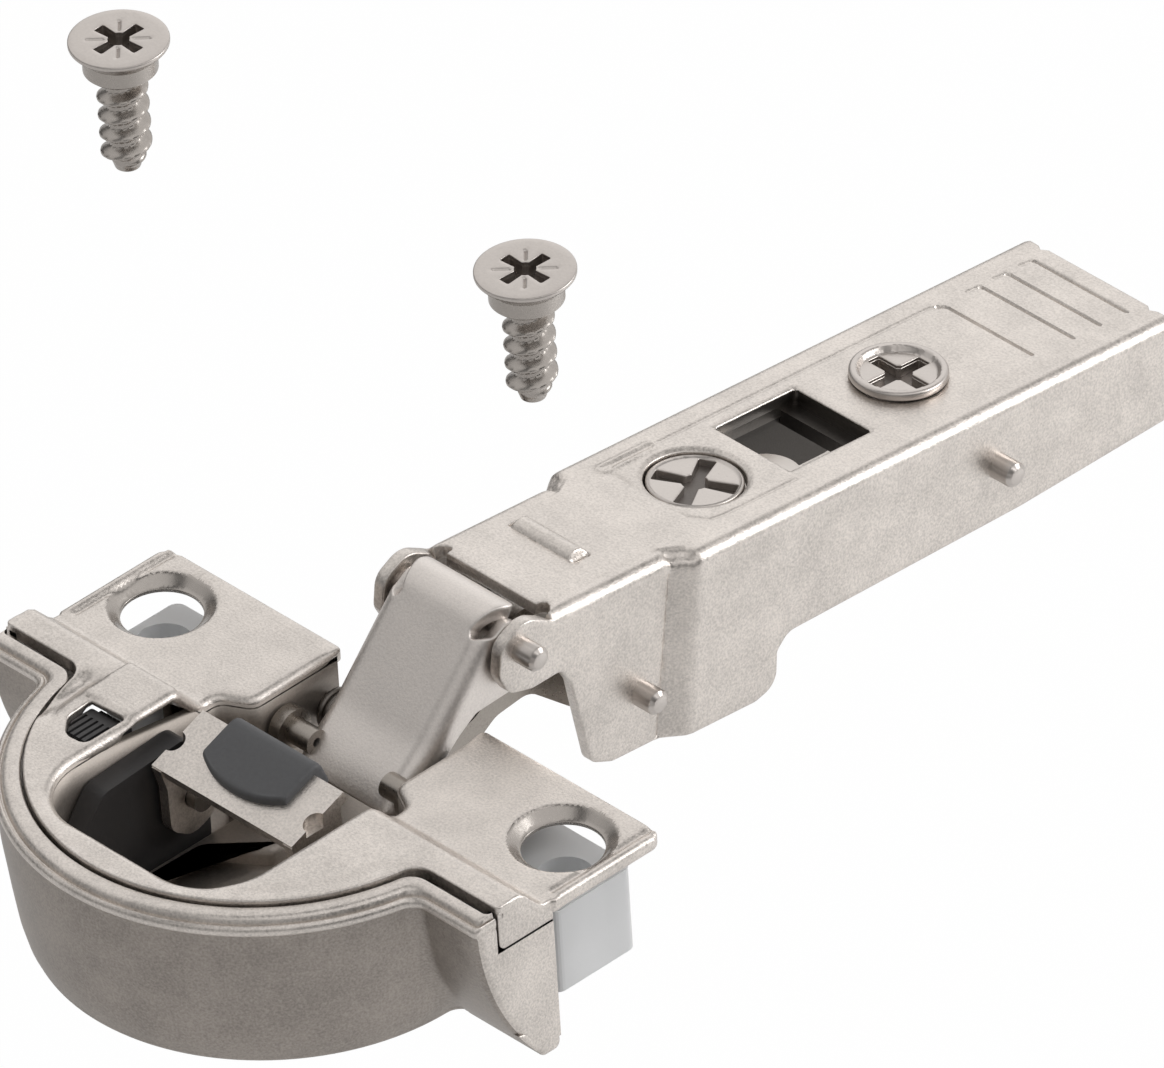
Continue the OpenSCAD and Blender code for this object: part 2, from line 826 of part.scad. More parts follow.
// The walls run on past the front edge of the top as two lobes
module both_arm_lobes() {
    both_sides(arm_front_x - arm_t, arm_front_x)
        polygon([[-4, -16], [arm_front + 1, -16], [arm_front + 1, arm_top - 1],
            [arm_front - 0.6, 3], [-4, 3]]);
}

function middle_in_arm() = spin(middle_pivot - front_pivot, arm_tilt);

module arm_pin(p, half) {
    color(steel)
    in_arm()
        union() {
            translate([pin_out / 2 - 0.2, 0, 0])
                bar_x(p, pin_r, 2 * half + pin_out - 0.1);
            translate([half + pin_out - 0.25 - cover, p.x, p.y])
                rotate([0, 90, 0])
                    cylinder(r1 = pin_r, r2 = pin_r - 0.25, h = 0.25);
        }
}

module front_pin() {
    arm_pin([0, 0], arm_front_x);
}

module middle_pin() {
    arm_pin(middle_in_arm(), arm_front_x);
}

module rear_pin() {
    arm_pin(rear_pin_at, arm_x);
}

// Base channel inside the arm, with its adjusting screws and clip

base_x = arm_x - arm_t - slide_gap;
base_top = arm_top - arm_t - slide_gap;
base_t = 1.1;
base_low = -6.2;
base_front = 18.2;
base_rear = 52;

module base_channel() {
    color(dark_steel)
    in_arm()
        difference() {
            union() {
                box([-base_x, base_front, base_top - base_t], [base_x, base_rear, base_top]);
                both_sides(base_x - base_t, base_x)
                    polygon(outline([[base_front, base_top - 0.5, 0], [base_rear, base_top - 0.5, 0],
                        [base_rear, base_low + 1.4, 1], [40, base_low, 1], [base_front, base_low, 1]]));
            }
            // Slots for the screws and the window
            slot_hole(side_screw_y, 2.4);
            slot_hole(cam_y, 2.3);
            box([-3.9, window_mid - 5.8, -4], [3.9, window_mid + 2.6, 4]);
            hull()
                for (d = [-1, 1])
                    bar_x(rear_pin_at + [d * (base_travel + 0.4), 0], pin_r + 0.3, 40);
        }
}

module slot_hole(y, r) {
    hull()
        for (d = [-1, 1])
            translate([0, y + d * (base_travel + 0.2), -6])
                cylinder(r = r, h = 10);
}

module cross_slots(r, w, depth) {
    for (a = [45, 135])
        rotate([0, 0, a])
            translate([-r, -w / 2, -depth])
                cube([2 * r, w, depth + 2]);
}

module side_screw() {
    color(steel)
    in_arm()
        translate([0, side_screw_y, 0])
            difference() {
                union() {
                    translate([0, 0, arm_top - arm_t - 0.05])
                        cylinder(r = adjuster_r - 0.05, h = arm_t - 0.25);
                    translate([0, 0, base_top - base_t - 2.6])
                        cylinder(r = 2.1, h = base_t + 3.2);
                    translate([0, 0, base_top - base_t - 2.6])
                        cylinder(r = 3, h = 1.4);
                }
                translate([0, 0, arm_top - 0.2])
                    rotate([0, 0, -17])
                        cross_slots(3, 0.95, 1.1);
            }
}

module depth_cam() {
    head_z = arm_top + 0.05;
    color(steel)
    in_arm()
        translate([0, cam_y, 0])
            difference() {
                union() {
                    translate([0, 0, head_z])
                        cylinder(r = adjuster_r, h = 0.75);
                    translate([0, 0, base_top + 0.1])
                        cylinder(r = adjuster_r - 0.6, h = head_z - base_top);
                    translate([0, 0, base_top - base_t - 0.5])
                        cylinder(r = 2, h = base_t + 0.8);
                    translate([0, -0.3, base_top - base_t - 1.4])
                        cylinder(r = 2.5, h = 1.1);
                }
                translate([0, 0, head_z + 0.45])
                    cylinder(r1 = adjuster_r - 0.9, r2 = adjuster_r - 0.5, h = 1);
                translate([0, 0, head_z + 0.4])
                    rotate([0, 0, 45])
                        cross_slots(2.6, 0.95, 1);
            }
}

module cam_washer() {
    washer_r = 2.5;
    color(steel)
    in_arm()
        translate([0, window_mid - washer_r, base_top - base_t - 1])
            difference() {
                cylinder(r = washer_r, h = 0.9);
                translate([0, 0, -1])
                    cylinder(r = 1.2, h = 4);
            }
}

module clip_lever() {
    half = base_x - base_t - 0.35;
    color(dark_steel)
    in_arm()
        difference() {
            union() {
                both_sides(half - 1, half)
                    polygon(outline([[rear_pin_at.x - 2.2, -1.9, 1], [rear_pin_at.x + 3, -2.2, 1],
                        [58, -3, 1], [59.6, -5.2, 1], [52, -6, 1], [rear_pin_at.x - 0.5, -6.6, 1.2],
                        [rear_pin_at.x - 2.6, -4.8, 1.2]]));
                box([-half, 50, -6], [half, 59.2, -5]);
            }
            bar_x(rear_pin_at, pin_r + fit, 40);
        }
}

module clip_spring() {
    wire = 0.45;
    cam_clear = 2.5;
    coil_r = pin_r + 0.15 + wire / 2;
    color(dark_steel)
    in_arm()
        for (s = [-1, 1])
            for (i = [0 : 1])
                translate([s * (cam_clear + wire / 2 + i * (wire + 0.02)), rear_pin_at.x, rear_pin_at.y])
                    rotate([0, 90, 0])
                        rotate_extrude()
                            translate([coil_r, 0])
                                circle(d = wire, $fn = 16);
}

cup_shell();
mounting_plate();
clamp_block_left();
clamp_block_right();
frame_screw_left();
frame_screw_right();
outer_link_pins();
inner_link_pin();
return_spring();
damper_body();
damper_pin();
damper_lever();
lever_pad();
damper_switch();
outer_link();
inner_link();
hinge_arm();
front_pin();
middle_pin();
rear_pin();
base_channel();
side_screw();
depth_cam();
cam_washer();
clip_lever();
clip_spring();
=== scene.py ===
"""Concealed hinge for a narrow frame: finishes, rounded sheet metal, lights and camera.

Sizes in the helpers are millimetres, and each mesh is written in metres.
"""
from math import acos, atan2, ceil, cos, hypot, pi, radians, sin, sqrt, tan

import bpy
import numpy as np
from mathutils import Matrix, Vector
from mathutils.geometry import delaunay_2d_cdt


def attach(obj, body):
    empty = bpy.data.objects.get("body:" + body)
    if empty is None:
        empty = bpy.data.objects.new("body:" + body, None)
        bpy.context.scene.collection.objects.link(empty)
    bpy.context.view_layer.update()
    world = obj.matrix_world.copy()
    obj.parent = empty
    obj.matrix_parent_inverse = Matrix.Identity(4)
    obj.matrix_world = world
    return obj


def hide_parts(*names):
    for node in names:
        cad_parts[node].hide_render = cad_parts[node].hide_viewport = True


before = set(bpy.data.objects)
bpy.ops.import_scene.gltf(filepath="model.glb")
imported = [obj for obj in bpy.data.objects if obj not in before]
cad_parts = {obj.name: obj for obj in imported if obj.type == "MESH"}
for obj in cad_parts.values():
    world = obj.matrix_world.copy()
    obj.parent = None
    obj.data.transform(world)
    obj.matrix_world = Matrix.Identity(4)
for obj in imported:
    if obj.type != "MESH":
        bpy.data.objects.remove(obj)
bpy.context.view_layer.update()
MM = 0.001

# ---- Sizes shared with the frame, in millimetres ----

CUP_BACK = 8.6
CUP_FOOT_R = 17.2
CUP_DEPTH = 11.5
RING_Z = 2.0
SHEET_T = 1.1
BAND_Y = -10.3
WING_X, WING_BACK = 24.4, 5.3
EAR_X, EAR_Y = 24.6, 4.95
HOLE_X, HOLE_R, SINK_R, SINK_DEEP = 19.9, 2.9, 3.8, 0.8
GAP_X = 7.0
OPENING_X, OPENING_FRONT = 9.3, 22.9
STEP_FRONT, STEP_BACK = 8.0, 6.2
TAB_Z = -1.6
TUB_FLOOR = -9.7
PIN_R = 0.95
P1 = np.array([9.5, 3.9])
ARM_TILT = radians(5.8)
ARM_COS, ARM_SIN = cos(ARM_TILT), sin(ARM_TILT)
ARM_TOP = 1.52
ARM_FRONT, ARM_END = 3.1, 61.6
ARM_HALF_FRONT, ARM_HALF = 6.3, 7.45
SIDE_SCREW_U, WINDOW_U, CAM_U = 22.5, 31.9, 42.1
MIDDLE_PIN = np.array([20.2, -5.7])
REAR_PIN = (44.7, -3.4)
SCREW_LIFT = 47.3
THREAD_PITCH, THREAD_ROOT, THREAD_DEEP = 1.5, 1.12, 0.68
BOX_X, BOX_REAR = 13.6, 4.4
POCKET_X, POCKET_Y = (-11.75, 2.0), (-10.9, 2.3)  # middle and half size
FLOOR_Z = -0.11  # metres


# ---- Outlines ----

def unit(v):
    return v / np.linalg.norm(v)


def rounded(points, step=0.3):
    """A closed outline of (x, y, radius) corners as a list of points, with arcs at the corners."""
    pts = [np.array(p[:2], float) for p in points]
    out = []
    for i, point in enumerate(points):
        a, b, c = pts[i - 1], pts[i], pts[(i + 1) % len(pts)]
        r = point[2] if len(point) > 2 else 0
        if r == 0:
            out.append(b)
            continue
        u, v = unit(a - b), unit(c - b)
        half = acos(max(-1, min(1, float(u @ v)))) / 2
        if half > 1.53:
            out.append(b)
            continue
        mid = b + unit(u + v) * r / sin(half)
        start = b + u * r / tan(half) - mid
        turn = (pi - 2 * half) * (-1 if u[0] * v[1] - u[1] * v[0] > 0 else 1)
        n = max(3, int(abs(turn) * r / step) + 1)
        for k in range(n + 1):
            t = turn * k / n
            out.append(mid + np.array([start[0] * cos(t) - start[1] * sin(t),
                                       start[0] * sin(t) + start[1] * cos(t)]))
    return np.array(out)


def divided(loop, step):
    """The closed loop with its long edges divided."""
    out = []
    for i, a in enumerate(loop):
        b = loop[(i + 1) % len(loop)]
        n = max(1, int(ceil(np.linalg.norm(b - a) / step)))
        out += [a + (b - a) * k / n for k in range(n)]
    return np.array(out)


def cleaned(loop, least=0.02):
    """The loop without points that lie on each other."""
    keep = [loop[0]]
    for p in loop[1:]:
        if np.linalg.norm(p - keep[-1]) > least:
            keep.append(p)
    if np.linalg.norm(keep[0] - keep[-1]) < least:
        keep.pop()
    return np.array(keep)


def area(loop):
    x, y = loop[:, 0], loop[:, 1]
    return float(np.sum(x * np.roll(y, -1) - np.roll(x, -1) * y)) / 2


def turned(loop, ccw=True):
    return loop if (area(loop) > 0) == ccw else loop[::-1]


def circle(centre, r, n=48):
    a = angles_round(n)
    return np.stack([centre[0] + r * np.cos(a), centre[1] + r * np.sin(a)], 1)


def inset(loop, d):
    """The loop moved to its left by d, one distance or one for each point."""
    ahead = np.roll(loop, -1, 0) - loop
    ahead /= np.linalg.norm(ahead, axis=1)[:, None]
    back = np.roll(ahead, 1, 0)
    n1 = np.stack([-ahead[:, 1], ahead[:, 0]], 1)
    n0 = np.stack([-back[:, 1], back[:, 0]], 1)
    mid = n0 + n1
    mid /= np.maximum(np.linalg.norm(mid, axis=1), 1e-6)[:, None]
    lean = np.maximum(np.sum(mid * n1, 1), 0.6)
    return loop + mid * (np.broadcast_to(d, len(loop)) / lean)[:, None]


def inside(points, loops):
    """Which points lie in an odd number of the loops."""
    hit = np.zeros(len(points), bool)
    x, y = points[:, 0], points[:, 1]
    for loop in loops:
        for (x0, y0), (x1, y1) in zip(loop, np.roll(loop, -1, 0)):
            if y0 == y1:
                continue
            crosses = (y0 > y) != (y1 > y)
            hit ^= crosses & (x < (x1 - x0) * (y - y0) / (y1 - y0) + x0)
    return hit


def distance_to(points, line, closed=True):
    """Each point's distance to a polyline."""
    line = np.asarray(line, float)
    ends = np.roll(line, -1, 0) if closed else line[1:]
    starts = line if closed else line[:-1]
    best = np.full(len(points), 1e9)
    for a, b in zip(starts, ends):
        ab = b - a
        t = np.clip(((points - a) @ ab) / max(float(ab @ ab), 1e-12), 0, 1)
        best = np.minimum(best, np.linalg.norm(points - a - t[:, None] * ab, axis=1))
    return best


def in_box(points, line, reach):
    """The points within reach of the line's box."""
    return points[np.all((points > line.min(0) - reach) & (points < line.max(0) + reach), axis=1)]


def smooth_step(t):
    t = np.clip(t, 0, 1)
    return t * t * (3 - 2 * t)


def fall(distance, width):
    return 1 - smooth_step(distance / width)


def bell(distance, width):
    return np.exp(-(distance / width) ** 2)


def angles_round(n):
    return np.linspace(0, 2 * pi, n, endpoint=False)


# ---- Meshes ----

def added(name, data):
    """A new object in the scene."""
    obj = bpy.data.objects.new(name, data)
    bpy.context.scene.collection.objects.link(obj)
    return obj


def piece(name, verts, faces, material, body, node, slot, angle):
    """A mesh object from millimetre points, shaded smooth below the angle."""
    mesh = bpy.data.meshes.new(name)
    mesh.from_pydata([tuple(v) for v in np.asarray(verts) * MM], [],
                     [tuple(int(i) for i in f) for f in faces])
    mesh.validate()
    mesh.update()
    mesh.shade_smooth()
    mesh.set_sharp_from_angle(angle=radians(angle))
    obj = added(name, mesh)
    for one in material if isinstance(material, (list, tuple)) else [material]:
        mesh.materials.append(one)
    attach(obj, body)
    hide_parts(node)
    return obj


def joined(parts):
    """Several (verts, faces) as one."""
    verts, faces, base = [], [], 0
    for v, f in parts:
        verts.append(np.asarray(v, float))
        faces += [[i + base for i in face] for face in f]
        base += len(v)
    return np.concatenate(verts), faces


def loft(rows, closed=True, caps=False):
    """Quads between rows of points of equal length. closed joins each row's ends."""
    rows = [np.asarray(r, float) for r in rows]
    n = len(rows[0])
    faces = []
    for k in range(len(rows) - 1):
        for i in range(n if closed else n - 1):
            j = (i + 1) % n
            faces.append([k * n + i, k * n + j, (k + 1) * n + j, (k + 1) * n + i])
    if caps:
        faces.append(list(range(n))[::-1])
        faces.append([(len(rows) - 1) * n + i for i in range(n)])
    return np.concatenate(rows), faces


def at_height(outline, z):
    """A flat outline as (n, 3) points at one height, or one height for each point."""
    return np.stack([outline[:, 0], outline[:, 1], np.broadcast_to(z, len(outline))], 1)


def flipped(part):
    """A (verts, faces) with its faces turned round."""
    return part[0], [f[::-1] for f in part[1]]


def lathe(profile, n=64):
    """A surface turned about Z from (radius, z) points."""
    a = angles_round(n)
    rows = [np.stack([r * np.cos(a), r * np.sin(a), np.full(n, z)], 1) for r, z in profile]
    return loft(rows)


def sheet(outer, holes, place, thick=SHEET_T, edge=0.15, step=0.5, fine=(), height=None, turns=3,
          under=None, edge_at=None):
    """A sheet of metal with rounded edges. outer and holes are flat outlines, place bends the flat
    pattern, (n, 2) points and their heights above its outer face, into the row frame, and fine lists
    (line, reach, step) for places that need closer points. under gives the height of the lower face,
    and edge_at the edge radius at each place."""
    loops = [turned(cleaned(divided(loop, step)), k == 0) for k, loop in enumerate([outer, *holes])]
    radii = [edge_at(loop) if edge_at is not None else np.full(len(loop), edge) for loop in loops]
    rims = [inset(loop, r) for loop, r in zip(loops, radii)]
    lo, hi = rims[0].min(0), rims[0].max(0)

    def grid(gap):
        xs = np.arange(lo[0] + gap / 2, hi[0], gap)
        ys = np.arange(lo[1] + gap / 2, hi[1], gap)
        gx, gy = np.meshgrid(xs, ys)
        gx = gx + (np.arange(len(ys)) % 2)[:, None] * gap / 2
        return np.stack([gx.ravel(), gy.ravel()], 1)

    def clear(points, gap):
        points = points[inside(points, rims)]
        for rim in rims:
            if len(points):
                points = points[distance_to(points, rim) > gap * 0.55]
        return points

    free = clear(grid(step), step)
    for line, reach, gap in fine:
        line = np.asarray(line, float)
        if len(free):
            free = free[distance_to(free, line, False) > reach + gap * 0.5]
        near = in_box(grid(gap), line, reach)
        near = near[distance_to(near, line, False) <= reach]
        near = clear(near, gap)
        if len(near) and len(free):
            others = in_box(free, line, 2 * reach)
            if len(others):
                gaps = np.min(np.linalg.norm(near[:, None] - others[None], axis=2), axis=1)
                near = near[gaps > gap * 0.4]
        free = np.concatenate([free, near]) if len(free) else near
    edges, base = [], 0
    for rim in rims:
        n = len(rim)
        edges += [(base + i, base + (i + 1) % n) for i in range(n)]
        base += n
    flat = np.concatenate([*rims, free])
    out, _, faces, ids, _, _ = delaunay_2d_cdt([Vector(p) for p in flat], edges, [], 0, 1e-5)
    out = np.array([tuple(p) for p in out])
    faces = np.array([f for f in faces if len(f) == 3])
    mid = out[faces].mean(1)
    faces = faces[inside(mid, rims)]
    where = {}
    for new, olds in enumerate(ids):
        for old in olds:
            where[old] = new
    lift = height if height is not None else (lambda p: np.zeros(len(p)))
    low = under if under is not None else (lambda p: lift(p) - thick)
    n_out = len(out)
    top = place(out, lift(out))
    bottom = place(out, low(out))
    verts, tris = [top, bottom], [list(f) for f in faces] + [list(f[::-1] + n_out) for f in faces]
    count, base = 2 * n_out, 0
    for loop, rim, radius in zip(loops, rims, radii):
        n = len(loop)
        lift_rim, low_rim = lift(rim), low(rim)
        rows = [[where[base + i] for i in range(n)]]
        angles = [pi / 2 * k / turns for k in range(1, turns + 1)]
        r_top = np.minimum(radius, (lift_rim - low_rim) * 0.62)
        r_low = np.minimum(radius, (lift_rim - low_rim) * 0.3)
        levels = [(sin(a), lift_rim + r_top * (cos(a) - 1)) for a in angles]
        levels += [(sin(a), low_rim + r_low * (1 - cos(a))) for a in reversed(angles)]
        for share, level in levels:
            verts.append(place(rim + (loop - rim) * share, level))
            rows.append(list(range(count, count + n)))
            count += n
        rows.append([where[base + i] + n_out for i in range(n)])
        for a, b in zip(rows, rows[1:]):
            tris += [[a[i], b[i], b[(i + 1) % n], a[(i + 1) % n]] for i in range(n)]
        base += n
    return np.concatenate(verts), tris


def plate_x(outline, x0, x1, edge, step=0.6):
    """A flat plate between two places on X, from a (y, z) outline, with rounded edges."""
    def place(p, h):
        return np.stack([x1 + h, p[:, 0], p[:, 1]], 1)
    return sheet(outline, [], place, thick=x1 - x0, edge=edge, step=step)


def both(part):
    """A (verts, faces) and its mirror image in X."""
    verts, faces = part
    return joined([part, flipped((verts * np.array([-1, 1, 1]), faces))])


def arm_place(x, u, w):
    """Places along, across and above the arm as points of the row frame."""
    return np.stack([np.broadcast_to(x, np.shape(u)), P1[0] + u * ARM_COS + w * ARM_SIN,
                     P1[1] - u * ARM_SIN + w * ARM_COS], 1)


# ---- Materials ----

class Graph:
    """The node tree of a material or of the world."""

    def __init__(self, owner):
        owner.use_nodes = True
        self.nodes, self.links = owner.node_tree.nodes, owner.node_tree.links

    def new(self, kind, values=(), links=()):
        """A node with its inputs set to values and linked to sockets."""
        node = self.nodes.new("ShaderNode" + kind)
        for name, value in values:
            node.inputs[name].default_value = value
        for name, socket in links:
            self.links.new(socket, node.inputs[name])
        return node

    def noise(self, coords, scale, detail=3.0, rough=0.55):
        return self.new("TexNoise", [("Scale", scale), ("Detail", detail), ("Roughness", rough)],
                        [("Vector", coords)]).outputs["Fac"]

    def ranged(self, value, low, high, from_low=0.3, from_high=0.7, soft=False):
        node = self.new("MapRange", [("From Min", from_low), ("From Max", from_high), ("To Min", low),
                                     ("To Max", high)], [("Value", value)])
        if soft:
            node.interpolation_type = "SMOOTHSTEP"
        return node.outputs["Result"]

    def maths(self, kind, *values):
        """A Math node over numbers and sockets."""
        node = self.new("Math")
        node.operation = kind
        for slot, value in zip(node.inputs, values):
            if isinstance(value, (int, float)):
                slot.default_value = value
            else:
                self.links.new(value, slot)
        return node.outputs[0]

    def toward(self, way, direction):
        """How far a direction vector leans toward another."""
        node = self.new("VectorMath", [(1, direction)], [(0, way)])
        node.operation = "DOT_PRODUCT"
        return node.outputs["Value"]

    def tinted(self, value, dark, light):
        ramp = self.new("Mix")
        ramp.data_type = "RGBA"
        ramp.inputs["A"].default_value = (*dark, 1)
        ramp.inputs["B"].default_value = (*light, 1)
        self.links.new(value, ramp.inputs["Factor"])
        return ramp.outputs["Result"]

    def blended(self, share, first, second, out):
        """Mixes two shaders into the output node."""
        mix = self.new("MixShader", (), enumerate((share, first, second)))
        self.links.new(mix.outputs[0], self.nodes[out].inputs["Surface"])

    def surface(self, color, roughness, height, strength, distance):
        """Links colour, roughness and a slight bump to the shader."""
        bump = self.new("Bump", [("Strength", strength), ("Distance", distance)], [("Height", height)])
        for name, socket in (("Base Color", color), ("Roughness", roughness),
                             ("Normal", bump.outputs["Normal"])):
            self.links.new(socket, self.nodes["Principled BSDF"].inputs[name])


def material(name):
    """A new material, its graph, its shader's inputs and its object coordinates."""
    mat = bpy.data.materials.new(name)
    graph = Graph(mat)
    coords = graph.new("TexCoord").outputs["Object"]
    return mat, graph, graph.nodes["Principled BSDF"].inputs, coords


def plated_steel(name, color, roughness, spread, grain, tone):
    """Nickel plate on steel: a warm grey with fine speckle, soft cloudiness and a slight bump."""
    mat, graph, inputs, coords = material(name)
    speckle = graph.noise(coords, 5200, 2.0, 0.6)
    cloud = graph.noise(coords, 260, 4.0, 0.6)
    mixed = graph.maths("MULTIPLY_ADD", speckle, 0.6, graph.maths("MULTIPLY", cloud, 0.4))
    dark = tuple(c * (1 - tone) for c in color)
    light = tuple(min(1, c * (1 + tone)) for c in color)
    inputs["Metallic"].default_value = 1.0
    graph.surface(graph.tinted(graph.ranged(mixed, 0, 1, 0.36, 0.64), dark, light),
                  graph.ranged(mixed, roughness - spread, roughness + spread), speckle, 0.35, grain)
    return mat


def moulded_plastic(name, color, roughness):
    mat, graph, _, coords = material(name)
    fine = graph.noise(coords, 3000)
    light = tuple(c * 1.18 for c in color)
    graph.surface(graph.tinted(graph.ranged(fine, 0, 1), color, light),
                  graph.ranged(fine, roughness - 0.05, roughness + 0.08), fine, 0.4, 0.00002)
    return mat


def clear_plastic(name):
    """Milky translucent polymer."""
    mat, graph, inputs, coords = material(name)
    cloud = graph.noise(coords, 160, 2.0)
    graph.links.new(graph.tinted(cloud, (0.80, 0.81, 0.82), (0.94, 0.95, 0.96)), inputs["Base Color"])
    for key, value in (("Roughness", 0.28), ("Transmission Weight", 0.25), ("IOR", 1.49)):
        inputs[key].default_value = value
    return mat


NICKEL = plated_steel("nickel_plate", (0.70, 0.655, 0.615), 0.36, 0.08, 0.00008, 0.20)
NICKEL_SMOOTH = plated_steel("nickel_plate_smooth", (0.66, 0.62, 0.585), 0.30, 0.04, 0.00001, 0.03)
WEB = plated_steel("nickel_plate_link", (0.78, 0.735, 0.70), 0.42, 0.05, 0.00004, 0.08)
# The cup wall's material is the nickel plate darkened as painted shade; the rim and the wings' end faces keep
# the lit nickel plate.
CUP_WALL_SHADE = plated_steel("nickel_plate_cup_wall_painted_shade", (0.36, 0.327, 0.30), 0.40, 0.07, 0.00008, 0.22)
# The inner link and the link pins take the nickel plate darkened as painted shade for their place inside the
# arm.
INNER_SHADE = plated_steel("nickel_plate_inside_painted_shade", (0.36, 0.33, 0.30), 0.30, 0.05, 0.00002, 0.08)
SCREW = plated_steel("screw_steel", (0.60, 0.56, 0.53), 0.32, 0.05, 0.00002, 0.05)
# The floors of the screws' recesses are darkened as painted shade.
RECESS_SHADE = plated_steel("screw_recess", (0.17, 0.155, 0.145), 0.4, 0.05, 0.00002, 0.1)
# Dark steel for springs, small pins and the clip lever; on the walls of the arm's window it is painted shade.
DARK = plated_steel("dark_steel", (0.20, 0.185, 0.17), 0.36, 0.06, 0.00002, 0.10)
SHADE = plated_steel("shaded_steel", (0.085, 0.078, 0.072), 0.42, 0.06, 0.00002, 0.10)
# The tub's nickel plate is rougher, and its colour is darkened as painted shade for the deep pocket.
TUB_SHADE = plated_steel("nickel_plate_tub_painted_shade", (0.50, 0.455, 0.415), 0.56, 0.05, 0.00003, 0.10)
SUNK = plated_steel("countersunk_steel", (0.46, 0.428, 0.40), 0.26, 0.04, 0.00001, 0.05)
BLACK = moulded_plastic("black_plastic", (0.034, 0.033, 0.034), 0.42)
GREY = moulded_plastic("grey_plastic", (0.092, 0.094, 0.099), 0.55)
CLEAR = clear_plastic("clear_plastic")

NODE_MATERIALS = {
    "cup_shell": CUP_WALL_SHADE, "mounting_plate": NICKEL, "clamp_block_left": CLEAR, "clamp_block_right": CLEAR,
    "frame_screw_left": SCREW, "frame_screw_right": SCREW, "outer_link_pins": INNER_SHADE,
    "inner_link_pin": DARK, "return_spring": DARK, "damper_body": BLACK, "damper_pin": DARK,
    "damper_lever": NICKEL, "lever_pad": GREY, "damper_switch": BLACK, "outer_link": WEB,
    "inner_link": INNER_SHADE, "hinge_arm": NICKEL, "front_pin": SCREW, "middle_pin": SCREW,
    "rear_pin": SCREW, "base_channel": SHADE, "side_screw": SCREW, "depth_cam": SCREW,
    "cam_washer": NICKEL_SMOOTH, "clip_lever": DARK, "clip_spring": DARK,
}


def finish_nodes():
    for name, mat in NODE_MATERIALS.items():
        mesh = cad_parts[name].data
        if not mesh.materials:
            mesh.materials.append(mat)
        for i in range(len(mesh.materials)):
            mesh.materials[i] = mat


BEVELS = {
    "clamp_block_left": 0.35, "clamp_block_right": 0.35, "damper_body": 0.3, "damper_lever": 0.14,
    "lever_pad": 0.16, "inner_link": 0.14, "base_channel": 0.12, "clip_lever": 0.12,
    "cam_washer": 0.1, "damper_switch": 0.07,
}


def soften_nodes():
    """Rounds the edges of the nodes that keep their own mesh."""
    for name, width in BEVELS.items():
        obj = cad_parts[name]
        bevel = obj.modifiers.new("edges", "BEVEL")
        bevel.width = width * MM
        bevel.segments = 2
        bevel.limit_method = "ANGLE"
        bevel.angle_limit = radians(34)
        bevel.harden_normals = False
        bevel.miter_outer = "MITER_ARC"
        shade = obj.modifiers.new("shade", "WEIGHTED_NORMAL")
        shade.keep_sharp = True


# ---- The arm ----

ARM_BEND = 1.0
ARM_ARC = ARM_BEND * pi / 2
ARM_FLAT = ARM_HALF - ARM_BEND
ARM_KEEP = 4.0
ARM_SIDE = ARM_FLAT + ARM_ARC


def arm_wall(w):
    """Place across the arm's flat pattern of a height on its wall."""
    return ARM_SIDE + ARM_TOP - ARM_BEND - w


def arm_fold(p, h):
    """Bends the arm's flat pattern: across it in s, along it in u."""
    s, u = p[:, 0], p[:, 1]
    side, a = np.sign(s), np.abs(s)
    depth = np.clip(a - ARM_FLAT - ARM_ARC, 0, 20)
    place = (u - 14.25 + 0.06 * depth) / (1.5 + 0.02 * depth)
    jog = np.mean([np.clip(place + k * 0.045, 0, 1) for k in range(-4, 5)], 0)
    flat = ARM_HALF_FRONT + (ARM_HALF - ARM_HALF_FRONT) * jog - ARM_BEND
    x_top = np.where(a <= ARM_KEEP, a, ARM_KEEP + (a - ARM_KEEP) * (flat - ARM_KEEP) / (ARM_FLAT - ARM_KEEP))
    turn = np.clip((a - ARM_FLAT) / ARM_BEND, 0, pi / 2)
    r = ARM_BEND + h
    x_bend = flat + r * np.sin(turn)
    w_bend = ARM_TOP - ARM_BEND + r * np.cos(turn) - depth
    x = np.where(a <= ARM_FLAT, x_top, x_bend)
    w = np.where(a <= ARM_FLAT, ARM_TOP + h, w_bend)
    straight = fall(u - 2.3, 0.8)
    straight = np.where(a > ARM_FLAT - 1.2, straight, 0)
    x = x + (flat + r - x) * straight
    w = w + (ARM_TOP - ARM_BEND + (ARM_SIDE - a) - w) * straight
    return arm_place(side * x, u, w)


GROOVE_ENDS = (59.75, 57.15, 54.55)
GROOVES = [[(-4.6, u), (-4.45, u + 0.1), (4.5, u + 0.1)] for u in GROOVE_ENDS]
GROOVES += [[(-4.75, 50.5), (-4.4, 50.9), (-4.0, 51.0), (4.1, 51.0)]]
FAINT = [
    [(-4.2, 18.5), (3.2, 18.5), (4.6, 19.5), (4.8, 21.0), (4.8, 28.0)],
    [(-4.2, 18.5), (-5.0, 19.4), (-5.0, 49.9), (-4.75, 50.5)],
] + [[(-4.8, u - 1.15), (-4.75, u - 0.25), (-4.6, u)] for u in GROOVE_ENDS]
SPEAR = [(-5.0, 18.6), (-5.0, 23.0)]


